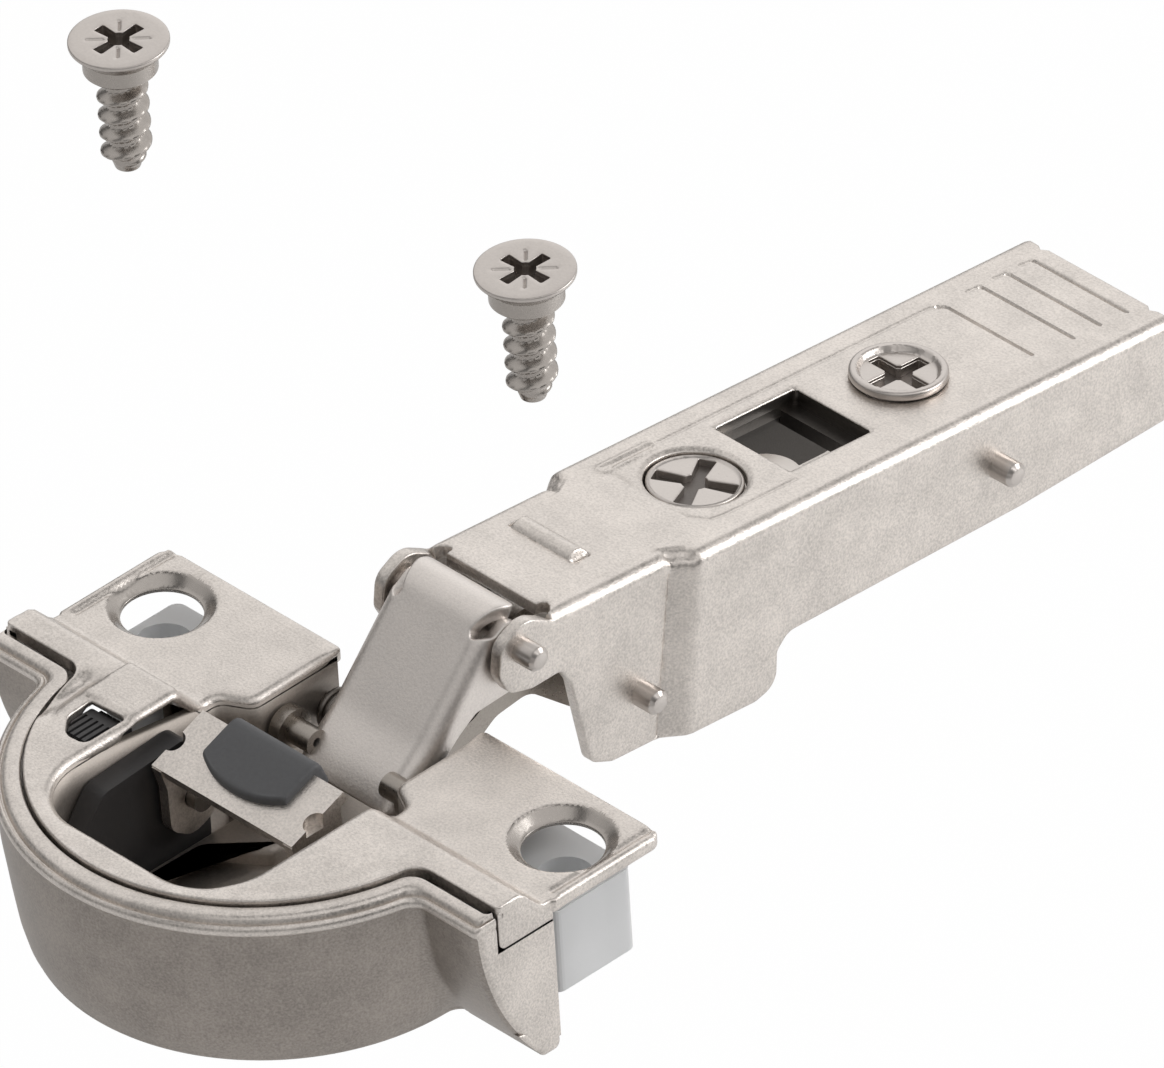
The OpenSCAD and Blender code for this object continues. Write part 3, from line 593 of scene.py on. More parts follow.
def arm_height(p):
    x, u = p[:, 0], p[:, 1]
    h = np.zeros(len(p))
    for line in GROOVES:
        h -= 0.30 * fall(distance_to(p, line, False) - 0.02, 0.16)
    for line in FAINT:
        h -= 0.07 * bell(distance_to(p, line, False), 0.12)
    spear = distance_to(p, SPEAR, False)
    h += 0.10 * bell(spear - 0.42, 0.16)
    across = np.clip(1 - ((u - 9.45) / 0.86) ** 2, 0, 1) ** 0.6
    end = np.abs(x + 0.95) - 2.95
    h += 0.50 * across * fall(end + 0.22, 0.26)
    h -= 0.38 * np.clip(across * 1.4, 0, 1) * bell(end - 0.2, 0.13)
    around = np.hypot(x, u - SIDE_SCREW_U)
    h -= 0.35 * fall(around - 3.45, 0.55)
    window = np.maximum(np.abs(x) - 3.75, np.abs(u - WINDOW_U) - 3.9)
    h -= 0.14 * fall(window + 0.02, 0.26)
    side = np.abs(x) - ARM_FLAT
    h -= 0.06 * bell(side + 0.42, 0.26) * (u > 3.6)
    depth = np.abs(x) - ARM_FLAT - ARM_ARC
    h -= 0.12 * bell(u - 14.1 + 0.06 * depth, 0.11) * (depth > -0.3)
    across = bell(np.abs(x) - ARM_FLAT - 0.5, 0.62)
    h -= 0.38 * across * (bell(u - 14.35, 0.2) + bell(u - 15.5, 0.2))
    h -= 0.30 * across * bell(u - 14.9, 0.7)
    return h


def arm_side_outline():
    """The arm's wall from the front relief, round its lobes, to the rear end, as (s, u) places."""
    side = [(3.0, 1.2, 0), (2.4, 1.35, 0.6), (0.3, 2.3, 1.9), (-1.95, 0.9, 1.5), (-2.05, -1.5, 1.2),
            (-1.0, -3.2, 1.4), (1.2, -3.65, 1.2), (3.9, -3.4, 0.7), (4.9, -4.8, 0.9), (7.0, -12.2, 1.0),
            (9.0, -12.94, 1.6), (21.6, -12.94, 1.2), (23.6, -12.3, 1.6), (23.6, -9.6, 0.6), (24.6, -8.5, 1.4),
            (47.0, -7.7, 8), (ARM_END, -6.5, 0.8), (ARM_END, 0.2, 0)]
    flat = rounded([(u, w, r) for u, w, r in side], 0.25)
    return np.stack([arm_wall(flat[:, 1]), flat[:, 0]], 1)


def build_arm():
    side = arm_side_outline()
    half = np.concatenate([
        [(0, ARM_FRONT), (4.75, ARM_FRONT), (4.85, 3.55), (5.35, 3.85), (6.1, 3.75), (6.7, 3.35),
         (6.85, 3.0)],
        side, [(6.2, ARM_END), (5.9, ARM_END), (5.4, ARM_END - 0.35), (4.9, ARM_END), (0, ARM_END)]])
    mirror = half[::-1] * np.array([-1, 1])
    outline = cleaned(np.concatenate([half, mirror[1:-1]]), 0.05)
    window = rounded([(-3.75, WINDOW_U - 3.9, 0.35), (3.75, WINDOW_U - 3.9, 0.35),
                      (3.75, WINDOW_U + 3.9, 0.35), (-3.75, WINDOW_U + 3.9, 0.35)], 0.12)
    holes = [window, circle((0, SIDE_SCREW_U), 3.62, 72), circle((0, CAM_U), 3.3, 64)]
    fine = [(g, 0.34, 0.09) for g in GROOVES]
    fine += [(f, 0.3, 0.12) for f in FAINT]
    fine += [(SPEAR, 0.8, 0.17), ([(-3.6, 9.45), (1.7, 9.45)], 1.1, 0.16)]
    fine += [([(x, 8.8), (x, 10.1)], 0.45, 0.09) for x in (-4.0, 2.1)]
    corner = [(s * (ARM_FLAT + 0.5), 15.0) for s in (-1, 1)]
    fine += [([c, (c[0] + 0.01, c[1])], 1.6, 0.14) for c in corner]
    box_line = [(-3.9, WINDOW_U - 4.1), (3.9, WINDOW_U - 4.1), (3.9, WINDOW_U + 4.1), (-3.9, WINDOW_U + 4.1),
                (-3.9, WINDOW_U - 4.1)]
    fine += [(box_line, 0.8, 0.2)]
    fine += [(circle((0, SIDE_SCREW_U), 4.0, 40), 0.45, 0.2)]
    for s in (-1, 1):
        fine += [([(s * ARM_SIDE, 14.1), (s * (ARM_SIDE + 13.5), 13.3)], 0.3, 0.11)]
        bend = s * (ARM_FLAT + ARM_ARC / 2)
        fine += [([(bend, 2.0), (bend, ARM_END)], 1.0, 0.28)]
    verts, faces = sheet(outline, holes, arm_fold, thick=1.0, edge=0.14, step=0.55, fine=fine,
                         height=arm_height)
    loop = turned(window)
    levels = [at_height(inset(loop, -d), w)
              for d, w in ((0.05, 0.75), (0.02, 0.5), (0.02, -0.3), (0.6, -0.3), (0.6, 0.5))]
    rows = [arm_place(v[:, 0], v[:, 1], v[:, 2]) for v in levels]
    shell = piece("hinge_arm_sheet", verts, faces, [NICKEL, DARK], "arm", "hinge_arm", "nickel_steel", 40)
    # Faces inside the window, below the arm's top, take the dark steel as painted shade.
    for face in shell.data.polygons:
        x, y, z = np.array(face.center) / MM - np.array([0, *P1])
        u, w = y * ARM_COS - z * ARM_SIN, y * ARM_SIN + z * ARM_COS
        if abs(x) < 3.8 and abs(u - WINDOW_U) < 3.95 and w < ARM_TOP - 0.16:
            face.material_index = 1
    # The window's lip is dark steel as painted shade.
    piece("hinge_arm_lip", *loft(rows + rows[:1]), DARK, "arm", "hinge_arm", "nickel_steel", 40)


# ---- Mounting plate and cup shell ----

def front_path(r, y0, fillet, x_end, corner=0.0, rear=None, n=72):
    """The plan line of the cup's front, from the right end of the wings round to the left: a circle of
    radius r about the cup's middle that runs into the line y = y0 through a fillet."""
    c = np.array([0.0, -CUP_BACK])
    xf = sqrt((r + fillet) ** 2 - (y0 - fillet + CUP_BACK) ** 2)
    fc = np.array([xf, y0 - fillet])
    on_circle = c + (fc - c) * r / (r + fillet)
    half = []
    if rear is not None:
        half += [(x_end, rear + (y0 + corner - rear) * k / 2) for k in range(2)]
    if corner > 0:
        half += [(x_end - corner + corner * cos(a), y0 + corner - corner * sin(a))
                 for a in (pi / 2 * k / 6 for k in range(7))]
    else:
        half += [(x_end, y0)]
    x0 = x_end - corner
    half += [(x0 + (xf - x0) * k / 4, y0) for k in range(1, 4)]
    a1 = atan2(on_circle[1] - fc[1], on_circle[0] - fc[0])
    a1 = a1 if a1 > 0 else a1 + 2 * pi
    half += [tuple(fc + fillet * np.array([cos(a), sin(a)]))
             for a in (pi / 2 + (a1 - pi / 2) * k / 9 for k in range(10))]
    a2 = atan2(on_circle[1] - c[1], on_circle[0])
    half += [tuple(c + r * np.array([cos(a), sin(a)]))
             for a in (a2 + (-pi / 2 - a2) * k / (n // 2) for k in range(1, n // 2))]
    half = np.array(half)
    return np.concatenate([half, [(0, -CUP_BACK - r)], half[::-1] * np.array([-1, 1])])


def opening_path(rear):
    """The opening of the mounting plate, from its right rear end round the front to the left one."""
    x, front, g = OPENING_X, -OPENING_FRONT, GAP_X
    corners = [(g + 8, rear + 6, 0), (g, rear + 6, 0), (g, -3.4, 1.0), (x, -4.6, 1.0),
               (x, front, 5), (-x, front, 5), (-x, -4.6, 1.0),
               (-g, -3.4, 1.0), (-g, rear + 6, 0), (-g - 8, rear + 6, 0), (0, rear + 30, 0)]
    path = rounded(corners, 0.3)
    keep = path[(np.abs(path[:, 0]) <= x + 0.01) & (path[:, 1] < rear - 0.05)]
    return np.concatenate([[(g, rear)], keep, [(-g, rear)]])


SWITCH_BOX = (-14.4, -8.6, -12.35, -7.7)


def plate_slope(y):
    total = 0
    for k in range(-4, 5):
        t = (y + k * 0.09 + STEP_FRONT) / (STEP_FRONT - STEP_BACK)
        total = total + RING_Z * (1 - np.clip(t, 0, 1))
    return total / 9


def plate_top(p):
    x, y = p[:, 0], p[:, 1]
    z = plate_slope(y)
    for s in (-1, 1):
        d = np.hypot(x - s * HOLE_X, y)
        z -= SINK_DEEP * np.clip((SINK_R + 0.06 - d) / (SINK_R - HOLE_R), 0, 1)
    ear = smooth_step((y + 5.0) / 0.5)
    end = EAR_X - np.abs(x)
    z += ear * (0.10 * bell(end - 0.42, 0.26) - 0.16 * bell(end - 1.0, 0.2))
    rear = EAR_Y - y
    z -= 0.05 * bell(rear - 0.75, 0.2) * (np.abs(x) > GAP_X + 0.6)
    x0, x1, y0, y1 = SWITCH_BOX
    box = np.maximum(np.maximum(x0 - x, x - x1), np.maximum(y0 - y, y - y1))
    z += 0.34 * fall(box + 0.15, 0.35) * smooth_step((-5.9 - y) / 1.4)
    dip = np.hypot((x + 15.4) / 0.75, np.maximum(np.abs(y + 13.2) - 2.3, 0) / 0.75)
    z -= 0.45 * bell(dip, 1)
    lip = np.abs(np.hypot(x, y + CUP_BACK) - 15.75)
    z -= 0.10 * bell(lip, 0.3) * (y < -11.2)
    return z


def switch_window():
    return rounded([(-13.38, -12.62, 0.15), (-13.25, -14.9, 1.3), (-11.9, -16.35, 1.3), (-10.15, -16.2, 0.6),
                    (-10.15, -12.5, 0.15)], 0.12)


def build_plate():
    front = front_path(16.7, BAND_Y, 1.6, WING_X, 0.35)
    right_ear = rounded([(GAP_X, -1, 0), (GAP_X, EAR_Y, 0.4), (EAR_X, EAR_Y, 1.0),
                         (EAR_X, -5.15, 0.3), (WING_X, -5.45, 0.2), (WING_X, -20, 0)], 0.25)[1:-1]
    left_ear = right_ear[::-1] * np.array([-1, 1])
    path = opening_path(EAR_Y - 0.45)
    outline = cleaned(np.concatenate([right_ear, front, left_ear, path[::-1]]), 0.06)

    def edge_at(loop):
        x, y = loop[:, 0], loop[:, 1]
        near = distance_to(loop, path, False) < 0.02
        back = smooth_step((EAR_Y - 0.6 - y) / 1.2)
        r = np.where(near, 0.25 + 0.40 * back, 0.25)
        r = np.where((y < -9) & ~near, 0.14, r)
        ear = (y > -5.0) & (np.abs(x) > EAR_X - 0.3)
        r = np.where(ear, 0.42, r)
        hole = np.minimum(np.hypot(x - HOLE_X, y), np.hypot(x + HOLE_X, y))
        r = np.where(hole < HOLE_R + 0.1, 0.06, r)
        window = (x > -13.6) & (x < -10) & (y < -12.4) & (y > -16.5)
        return np.where(window, 0.18, r)

    def under(p):
        box = np.maximum(np.abs(p[:, 0] - POCKET_X[0]) - POCKET_X[1],
                         np.abs(p[:, 1] - POCKET_Y[0]) - POCKET_Y[1])
        return plate_slope(p[:, 1]) - SHEET_T + 0.74 * fall(box, 0.3)

    holes = [circle((s * HOLE_X, 0), HOLE_R, 64) for s in (-1, 1)] + [switch_window()]
    fine = []
    for s in (-1, 1):
        fine += [(circle((s * HOLE_X, 0), 3.4, 48), 0.75, 0.2)]
        fine += [([(s * 23.95, -4.9), (s * 23.95, 4.4)], 0.85, 0.2)]
        fine += [([(s * 9.6, -7.2), (s * 24.1, -7.2)], 1.35, 0.22)]
    fine += [([(-14.4, -12.35), (-14.4, -7.7), (-8.8, -7.7)], 0.5, 0.17),
             ([(-14.4, -12.35), (-8.9, -12.35)], 0.5, 0.17), ([(-15.4, -10.9), (-15.4, -15.5)], 1.2, 0.2)]
    verts, faces = sheet(outline, holes, at_height, step=0.6, fine=fine, height=plate_top, under=under,
                         edge_at=edge_at, turns=4)
    tab = rounded([(BAND_Y, 1.55, 0.1), (BAND_Y, TAB_Z, 0.6), (-5.3, TAB_Z, 0.05), (-5.3, -0.5, 0.1),
                   (-6.3, -0.45, 0.5), (-8.0, 1.5, 0.4)], 0.15)
    parts = [(verts, faces), both(plate_x(tab, WING_X - 1.1, WING_X, 0.05))]
    top = piece("mounting_plate_sheet", *joined(parts), [NICKEL, SUNK], "cup", "mounting_plate",
                "nickel_steel", 42)
    for face in top.data.polygons:
        x, y, _ = np.array(face.center) / MM
        if HOLE_R - 0.1 < hypot(abs(x) - HOLE_X, y) < SINK_R + 0.02:
            face.material_index = 1
    build_tub()


def build_tub():
    """The drawn tub below the plate's opening: walls that run round into a stepped floor."""
    path = cleaned(opening_path(BOX_REAR), 0.05)
    top = plate_top(path) - 0.42
    floor, r = TUB_FLOOR, 1.7
    rows = []
    for k in range(5):
        t = k / 4
        rows.append(at_height(path, top + (floor + r - top) * t))
    ahead = np.zeros_like(path)
    ahead[1:-1] = path[2:] - path[:-2]
    ahead[0], ahead[-1] = path[1] - path[0], path[-1] - path[-2]
    ahead /= np.linalg.norm(ahead, axis=1)[:, None]
    inward = np.stack([ahead[:, 1], -ahead[:, 0]], 1)
    for k in range(1, 6):
        a = pi / 2 * k / 5
        rows.append(at_height(path + inward * (r * (1 - cos(a))), floor + r - r * sin(a)))
    verts, faces = loft(rows, closed=False)
    # The tub and its floor pieces use the tub material, darkened as painted shade.
    obj = piece("mounting_plate_tub", verts, faces, TUB_SHADE, "cup", "mounting_plate", "nickel_steel", 50)
    wall = obj.modifiers.new("wall", "SOLIDIFY")
    wall.thickness, wall.offset = 0.75 * MM, 1.0
    # A ledge pressed up in the floor, along the left wall and across its rear corner
    outline = [(-7.2, -19.6, 0.4), (-6.1, -19.6, 0.5), (-6.1, -9.6, 1.2), (-2.2, -7.0, 0.9),
               (-2.2, -5.2, 0.4), (-7.2, -5.2, 0.2)]
    loop = turned(rounded(outline, 0.3))
    levels = [(0.0, TUB_FLOOR - 0.05), (0.06, TUB_FLOOR + 0.7), (0.2, TUB_FLOOR + 1.05),
              (0.45, TUB_FLOOR + 1.2)]
    rows = [at_height(inset(loop, d), z) for d, z in levels]
    verts, faces = loft(rows)
    faces.append([len(verts) - len(loop) + i for i in range(len(loop))])
    parts = [(verts, faces)]
    for x, front, r, rear in ((8.1, -21.9, 3.6, -4.8), (5.7, -5.2, 0.1, 4.4)):
        loop = turned(rounded([(-x, front, r), (x, front, r), (x, rear, 0.1), (-x, rear, 0.1)], 0.5))
        rows = [at_height(loop, z) for z in (TUB_FLOOR - 0.6, TUB_FLOOR)]
        parts.append(loft(rows, caps=True))
    piece("mounting_plate_floor", *joined(parts), TUB_SHADE, "cup", "mounting_plate", "nickel_steel", 50)


def wing_y(z):
    """Place of the wing's curved front face."""
    return 8.4 - sqrt(20.72 ** 2 - (z - 1.5) ** 2)


def wall_r(z):
    levels = [(-CUP_DEPTH, CUP_FOOT_R), (-8.9, 17.8), (-6.5, 18.12), (-4.4, 18.36), (-2.6, 18.58),
              (-0.5, 18.66), (1, 18.68)]
    return float(np.interp(z, [a for a, _ in levels], [b for _, b in levels]))


def build_cup():
    x_end, corner = WING_X, 0.75
    rows = []

    def row(r, y0, z, fillet=1.3, end=x_end, turn=corner):
        rear = -WING_BACK if z < TAB_Z - 0.15 else BAND_Y - 0.2
        y0 = min(y0, rear - turn - 0.05)
        path = front_path(r, y0, fillet, end, turn, rear)
        rows.append(at_height(path, z))

    for k in range(6):
        a = pi / 2 * k / 5
        low = 1 - sin(a)
        row(CUP_FOOT_R - 0.6 * low, wing_y(-CUP_DEPTH) + 0.3 * low, -CUP_DEPTH + 0.6 * (1 - cos(a)))
    levels = [-10.4 + 0.72 * k for k in range(12)] + [TAB_Z - 0.16]
    first = len(rows)
    for z in levels:
        row(wall_r(z), wing_y(z), z)
    seam = len(rows)
    for z in (TAB_Z - 0.14, -0.9, -0.3, 0.15):
        row(wall_r(z), wing_y(z), z)
    for d, z in ((0.58, 0.42), (0.70, 0.55), (0.77, 0.75), (0.76, 0.95), (0.66, 1.14), (0.50, 1.24),
                 (0.36, 1.20), (0.28, 1.04), (0.20, 1.06), (0.08, 1.40), (-0.06, 1.57), (-0.3, 1.65),
                 (-0.75, 1.65), (-1.1, 1.64), (-1.18, 1.58), (-1.2, 1.45), (-1.2, 0.2)):
        end = x_end - 0.3 + 0.39 * min(max(d, -0.1), 0.77)
        row(18.1 + d, -11.72 - max(d, -1.2), z, 1.45, end, 0.45)
    row(17.3, BAND_Y - 1.3, 0.0, 1.8, x_end - 1.0, 0.3)
    row(17.2, BAND_Y - 1.3, TAB_Z - 0.14, 1.8, x_end - 1.0, 0.3)
    top_end = len(rows)
    for z in reversed(levels):
        row(wall_r(z) - 1.0, wing_y(z) + 1.0, z, 2.0, x_end - 1.0, 0.3)
    verts, faces = loft(rows, closed=False)
    n, last = len(rows[0]), len(rows) - 1
    for side, turn in ((0, 1), (n - 1, -1)):
        strip = [[first + k, first + k + 1, last - k - 1, last - k] for k in range(len(levels) - 1)]
        strip.append(list(range(seam, top_end)))
        faces += [[k * n + side for k in loop][::turn] for loop in strip]
    mesh_parts = [flipped((verts, faces))]
    rear_line = np.array([(-BOX_X, -WING_BACK), (-BOX_X, BOX_REAR), (BOX_X, BOX_REAR), (BOX_X, -WING_BACK)])
    bottom = np.concatenate([rows[0][:, :2], rear_line])
    inner = front_path(16.0, wing_y(-CUP_DEPTH) + 0.6, 1.8, x_end - 0.8, 0.3, -5.35)
    low = at_height(bottom, -CUP_DEPTH)
    high = at_height(np.concatenate([inner, rear_line]), -10.6)
    k = len(bottom)
    mesh_parts.append((np.concatenate([low, high]), [list(range(k)), [k + i for i in range(k)][::-1]]
                       + [[i, k + i, k + (i + 1) % k, (i + 1) % k] for i in range(k)]))
    box_parts = []
    for x0, x1, y0, y1 in ((BOX_X - 1.0, BOX_X, -6.0, BOX_REAR), (8.05, BOX_X, BOX_REAR - 1.0, BOX_REAR)):
        outline = rounded([(x0, y0, 0.05), (x1, y0, 0.05), (x1, y1, 0.3), (x0, y1, 0.05)], 0.1)
        loop = turned(outline)
        levels = [at_height(inset(loop, d), z)
                  for d, z in ((0.0, -11.4), (0.0, -1.35), (0.12, -1.15))]
        v, f = loft(levels, caps=True)
        box_parts.append(both((v, f)))
    arc = [(wing_y(z) + 0.01, z, 0) for z in np.linspace(-9.6, -12.1, 8)]
    tip = rounded([(-5.3, -9.6, 0)] + arc + [(-6.95, -12.5, 0.6), (-5.3, -12.5, 0.6)], 0.1)
    box_parts.append(both(plate_x(tip, 17.0, WING_X - 0.02, 0.25, step=0.35)))
    for name, parts in (("cup_shell_wall", mesh_parts), ("cup_shell_rear", box_parts)):
        obj = piece(name, *joined(parts), [CUP_WALL_SHADE, NICKEL], "cup", "cup_shell", "cup_steel", 35)
        # Faces of the wall take the darkened material as painted shade; the rim and the wings' end faces take
        # the lit nickel plate.
        for face in obj.data.polygons:
            on_end = abs(face.center.x) > (WING_X - 0.25) * MM and abs(face.normal.x) > 0.5
            if face.center.z > 0.45 * MM or on_end:
                face.material_index = 1


# ---- Outer link ----

LINK_DIR = np.array([cos(radians(46.9)), sin(radians(46.9))])
LINK_UP = np.array([-LINK_DIR[1], LINK_DIR[0]])
LINK_TOP = P1 + LINK_UP * 2.45
LINK_BEND, LINK_X = 1.5, 4.95


def link_fold(p, h):
    """Bends the link's flat pattern: across it in s, along its web in t from the curled end."""
    s, t = p[:, 0], p[:, 1]
    side, a = np.sign(s), np.abs(s)
    flat = LINK_X - LINK_BEND
    curl = (t > -0.55) & (a < 4.6)
    turn = np.clip((a - flat) / LINK_BEND, 0, pi / 2)
    depth = np.clip(a - flat - LINK_BEND * pi / 2, 0, 20)
    r = LINK_BEND + h
    x = np.where((a <= flat) | curl, a, flat + r * np.sin(turn))
    off = np.where((a <= flat) | curl, h, -LINK_BEND + r * np.cos(turn) - depth)
    off = off + 0.5 * smooth_step((-8.5 - t) / 4.5)
    angle = radians(136.9) - np.clip(t, 0, 9) / 2.45
    y = LINK_TOP[0] + LINK_DIR[0] * t + LINK_UP[0] * off
    z = LINK_TOP[1] + LINK_DIR[1] * t + LINK_UP[1] * off
    y = np.where(curl & (t > 0), P1[0] + (2.45 + off) * np.cos(angle), y)
    z = np.where(curl & (t > 0), P1[1] + (2.45 + off) * np.sin(angle), z)
    return np.stack([side * x, y, z], 1)


def build_outer_link():
    half = rounded([(0, -14.3, 0), (4.4, -14.3, 1.2), (6.1, -13.6, 1.0), (6.3, -11.2, 0.8),
                    (6.8, -7.2, 1.0), (7.3, -5.4, 0.8), (10.1, -2.6, 1.0), (8.0, 1.5, 1.6), (5.75, 1.3, 0.9),
                    (5.3, -0.1, 0.5), (3.72, -1.0, 0.28), (3.42, -0.35, 0.35), (4.25, 2.5, 1.6),
                    (4.25, 3.72, 0.5), (0, 3.72, 0), (-30, -5, 0)], 0.22)
    half = half[half[:, 0] >= -0.001]
    outline = cleaned(np.concatenate([half, half[::-1] * np.array([-1, 1])]), 0.05)
    fold = LINK_X - LINK_BEND + LINK_BEND * pi / 4
    fine = [([(k * fold, -14.0), (k * fold, -0.5)], 1.25, 0.26) for k in (-1, 1)]
    fine += [([(-4.2, 1.9), (4.2, 1.9)], 1.9, 0.3)]
    verts, faces = sheet(outline, [], link_fold, thick=1.1, edge=0.16, step=0.5, fine=fine)
    piece("outer_link_sheet", verts, faces, WEB, "outer_link", "outer_link", "nickel_steel", 42)


# ---- Adjusting screws ----

def cross(centre, angle, half, end, length, hub):
    """A cross recess: four slots that widen a little outward from a round middle."""
    loop = []
    for k in range(4):
        a = radians(angle + 90 * k)
        along, aside = np.array([cos(a), sin(a)]), np.array([-sin(a), cos(a)])
        near = sqrt(hub * hub - half * half)
        loop += [(*(centre + along * reach + aside * out), r)
                 for reach, out, r in ((near, -half, 0.05), (length, -end, 0.12), (length, end, 0.12),
                                       (near, half, 0.05))]
        a += pi / 4
        loop.append((centre[0] + hub * cos(a), centre[1] + hub * sin(a), 0.2))
    return rounded(loop, 0.12)


BASE_TOP, BASE_T = 0.17, 1.1


def turned_part(u, levels, shift=0.0):
    """Discs and cylinders on a screw's axis from (radius, height above the arm's row) levels."""
    rows = []
    for r, w in levels:
        ring = circle((0.0, u + shift), r, 56)
        rows.append(arm_place(ring[:, 0], ring[:, 1], w))
    return flipped(loft(rows, caps=True))


def slotted(u, r, top, low, slots, edge, dish=0.0, flat=0.0):
    """A disc with a cross cut through it and, if asked, a dished top inside a rim."""
    middle = np.array([0.0, u])

    def height(p):
        d = np.hypot(p[:, 0], p[:, 1] - u)
        return -dish * fall(d - flat + 0.22, 0.3)

    def place(p, h):
        return arm_place(p[:, 0], p[:, 1], top + h)

    def under(p):
        return np.full(len(p), low - top)

    def edge_at(loop):
        return np.where(np.hypot(loop[:, 0], loop[:, 1] - u) > r - 0.05, edge, 0.08)

    fine = [(circle(middle, flat, 60), 0.4, 0.13)] if dish else []
    return sheet(circle(middle, r, 80), [cross(middle, *slots)], place, step=0.35, fine=fine, height=height,
                 under=under, edge_at=edge_at)


def screw_pieces(node, head, floor):
    """The head of an adjusting screw, with its shank, and the floor of its recess, darkened as painted shade.
    """
    for tail, parts, mat in (("_head", head, SCREW), ("_recess", floor, RECESS_SHADE)):
        piece(node + tail, *joined(parts), mat, node, node, "screw_steel", 40)


def build_screws():
    neck = BASE_TOP - BASE_T
    slots, u = (28.6, 0.48, 0.64, 3.0, 0.95), SIDE_SCREW_U
    head = slotted(u, 3.45, ARM_TOP - 0.16, 0.49, slots, 0.2, 0.2, 3.3)
    shank = turned_part(u, [(2.1, 0.5), (2.1, neck - 1.2), (3.0, neck - 1.2), (3.0, neck - 2.6)])
    screw_pieces("side_screw", [head, shank], [turned_part(u, [(3.2, 0.60), (3.2, 0.51)])])
    slots, u = (0.0, 0.54, 0.54, 2.5, 0.95), CAM_U
    head = slotted(u, 3.5, ARM_TOP + 0.75, ARM_TOP + 0.05, slots, 0.22, 0.42, 2.9)
    collar = slotted(u, 2.9, ARM_TOP + 0.08, 0.8, slots, 0.05)
    shank = turned_part(u, [(2.9, 0.82), (2.9, BASE_TOP + 0.1), (2.0, BASE_TOP + 0.1), (2.0, neck - 0.5)])
    foot = turned_part(u, [(2.5, neck - 0.3), (2.5, neck - 1.4)], -0.3)
    screw_pieces("depth_cam", [head, collar, shank, foot], [turned_part(u, [(2.7, 0.92), (2.7, 0.84)])])


# ---- Pins of the arm ----

def build_pins():
    rear = arm_place(0, np.array([REAR_PIN[0]]), REAR_PIN[1])[0, 1:]
    for name, centre, half in (("front_pin", P1, ARM_HALF_FRONT), ("middle_pin", MIDDLE_PIN, ARM_HALF_FRONT),
                               ("rear_pin", rear, ARM_HALF)):
        n = 72
        a = angles_round(n)
        wave = 1 - 0.055 * (0.5 + 0.5 * np.cos(7 * a)) ** 3
        rows = []
        for x, r, flute in ((-half + 0.02, PIN_R - 0.12, 0), (-half + 0.14, PIN_R - 0.02, 0),
                            (half - 0.6, PIN_R - 0.02, 0), (half - 0.5, PIN_R, 1),
                            (half + 1.55, PIN_R, 1), (half + 1.66, PIN_R - 0.04, 1),
                            (half + 1.87, PIN_R - 0.30, 0.4), (half + 1.9, PIN_R - 0.36, 0)):
            k = r * (1 + (wave - 1) * flute)
            rows.append(np.stack([np.full(n, x), centre[0] + k * np.cos(a), centre[1] + k * np.sin(a)], 1))
        piece(name + "_fluted", *flipped(loft(rows, caps=True)), SCREW, "arm", name, "screw_steel", 30)


# ---- Frame screws ----

def thread_rows(n=48):
    """The threaded shank: circles down the screw whose radius follows a helix."""
    a = angles_round(n)
    rows = []
    for z in np.arange(-2.2, -10.2, -0.1):
        wave = np.abs(np.mod(z / THREAD_PITCH - a / (2 * pi), 1.0) - 0.5) * 2
        crest = 1 - np.clip((wave - 0.12) / 0.62, 0, 1)
        ends = np.clip((-2.5 - z) / 0.5, 0, 1) * np.clip((z + 9.7) / 0.9, 0, 1)
        root = THREAD_ROOT - 0.25 * np.clip((-9.4 - z) / 0.8, 0, 1)
        r = root + THREAD_DEEP * crest * ends
        rows.append(np.stack([r * np.cos(a), r * np.sin(a), np.full(n, z)], 1))
    return rows


def build_frame_screws():
    top = 0.35
    slots = cross(np.array([0.0, 0.0]), 0.0, 0.34, 0.44, 2.0, 0.75)
    star = [np.array([(0.75, 0.75), (1.5, 1.5)]) * k for k in ((1, 1), (-1, 1), (1, -1), (-1, -1))]

    def height(p):
        h = np.zeros(len(p))
        for line in star:
            h -= 0.16 * bell(distance_to(p, line, False), 0.09)
        return h

    def place(p, h):
        return at_height(p, top + h)

    def edge_at(loop):
        return np.where(np.hypot(loop[:, 0], loop[:, 1]) > 3.0, 0.1, 0.05)

    head = sheet(circle((0, 0), 3.5, 80), [slots], place, step=0.4,
                 fine=[(line, 0.25, 0.08) for line in star], height=height,
                 under=lambda p: np.full(len(p), -0.36), edge_at=edge_at)
    core = sheet(circle((0, 0), 2.5, 60), [slots], lambda p, h: place(p, h - 0.3), thick=1.1, edge=0.05,
                 step=0.5)
    cone = flipped(lathe([(3.46, 0.0), (2.6, -0.88), (2.6, -2.0), (2.4, -2.2), (1.1, -2.22)]))
    shank = flipped(loft(thread_rows(), caps=True))
    # The floor under the cross recess, darkened as painted shade.
    floor = loft([at_height(circle((0, 0), 2.4, 40), z) for z in (-0.85, -1.0)], caps=True)
    for side, body in ((-1, "left"), (1, "right")):
        node = "frame_screw_" + body
        shift = np.array([side * HOLE_X, 0, SCREW_LIFT])
        for tail, parts, mat in (("head", [head, core], SCREW), ("shank", [cone, shank], SUNK),
                                 ("recess", [floor], RECESS_SHADE)):
            verts, faces = joined(parts)
            piece(node + "_" + tail, verts + shift, faces, mat, "screw_" + body, node, "screw_steel", 35)


# ---- Lever pad ----

LEVER_FRONT, LEVER_REAR = np.array([-13.1, 0.0]), np.array([-8.1, 1.9])


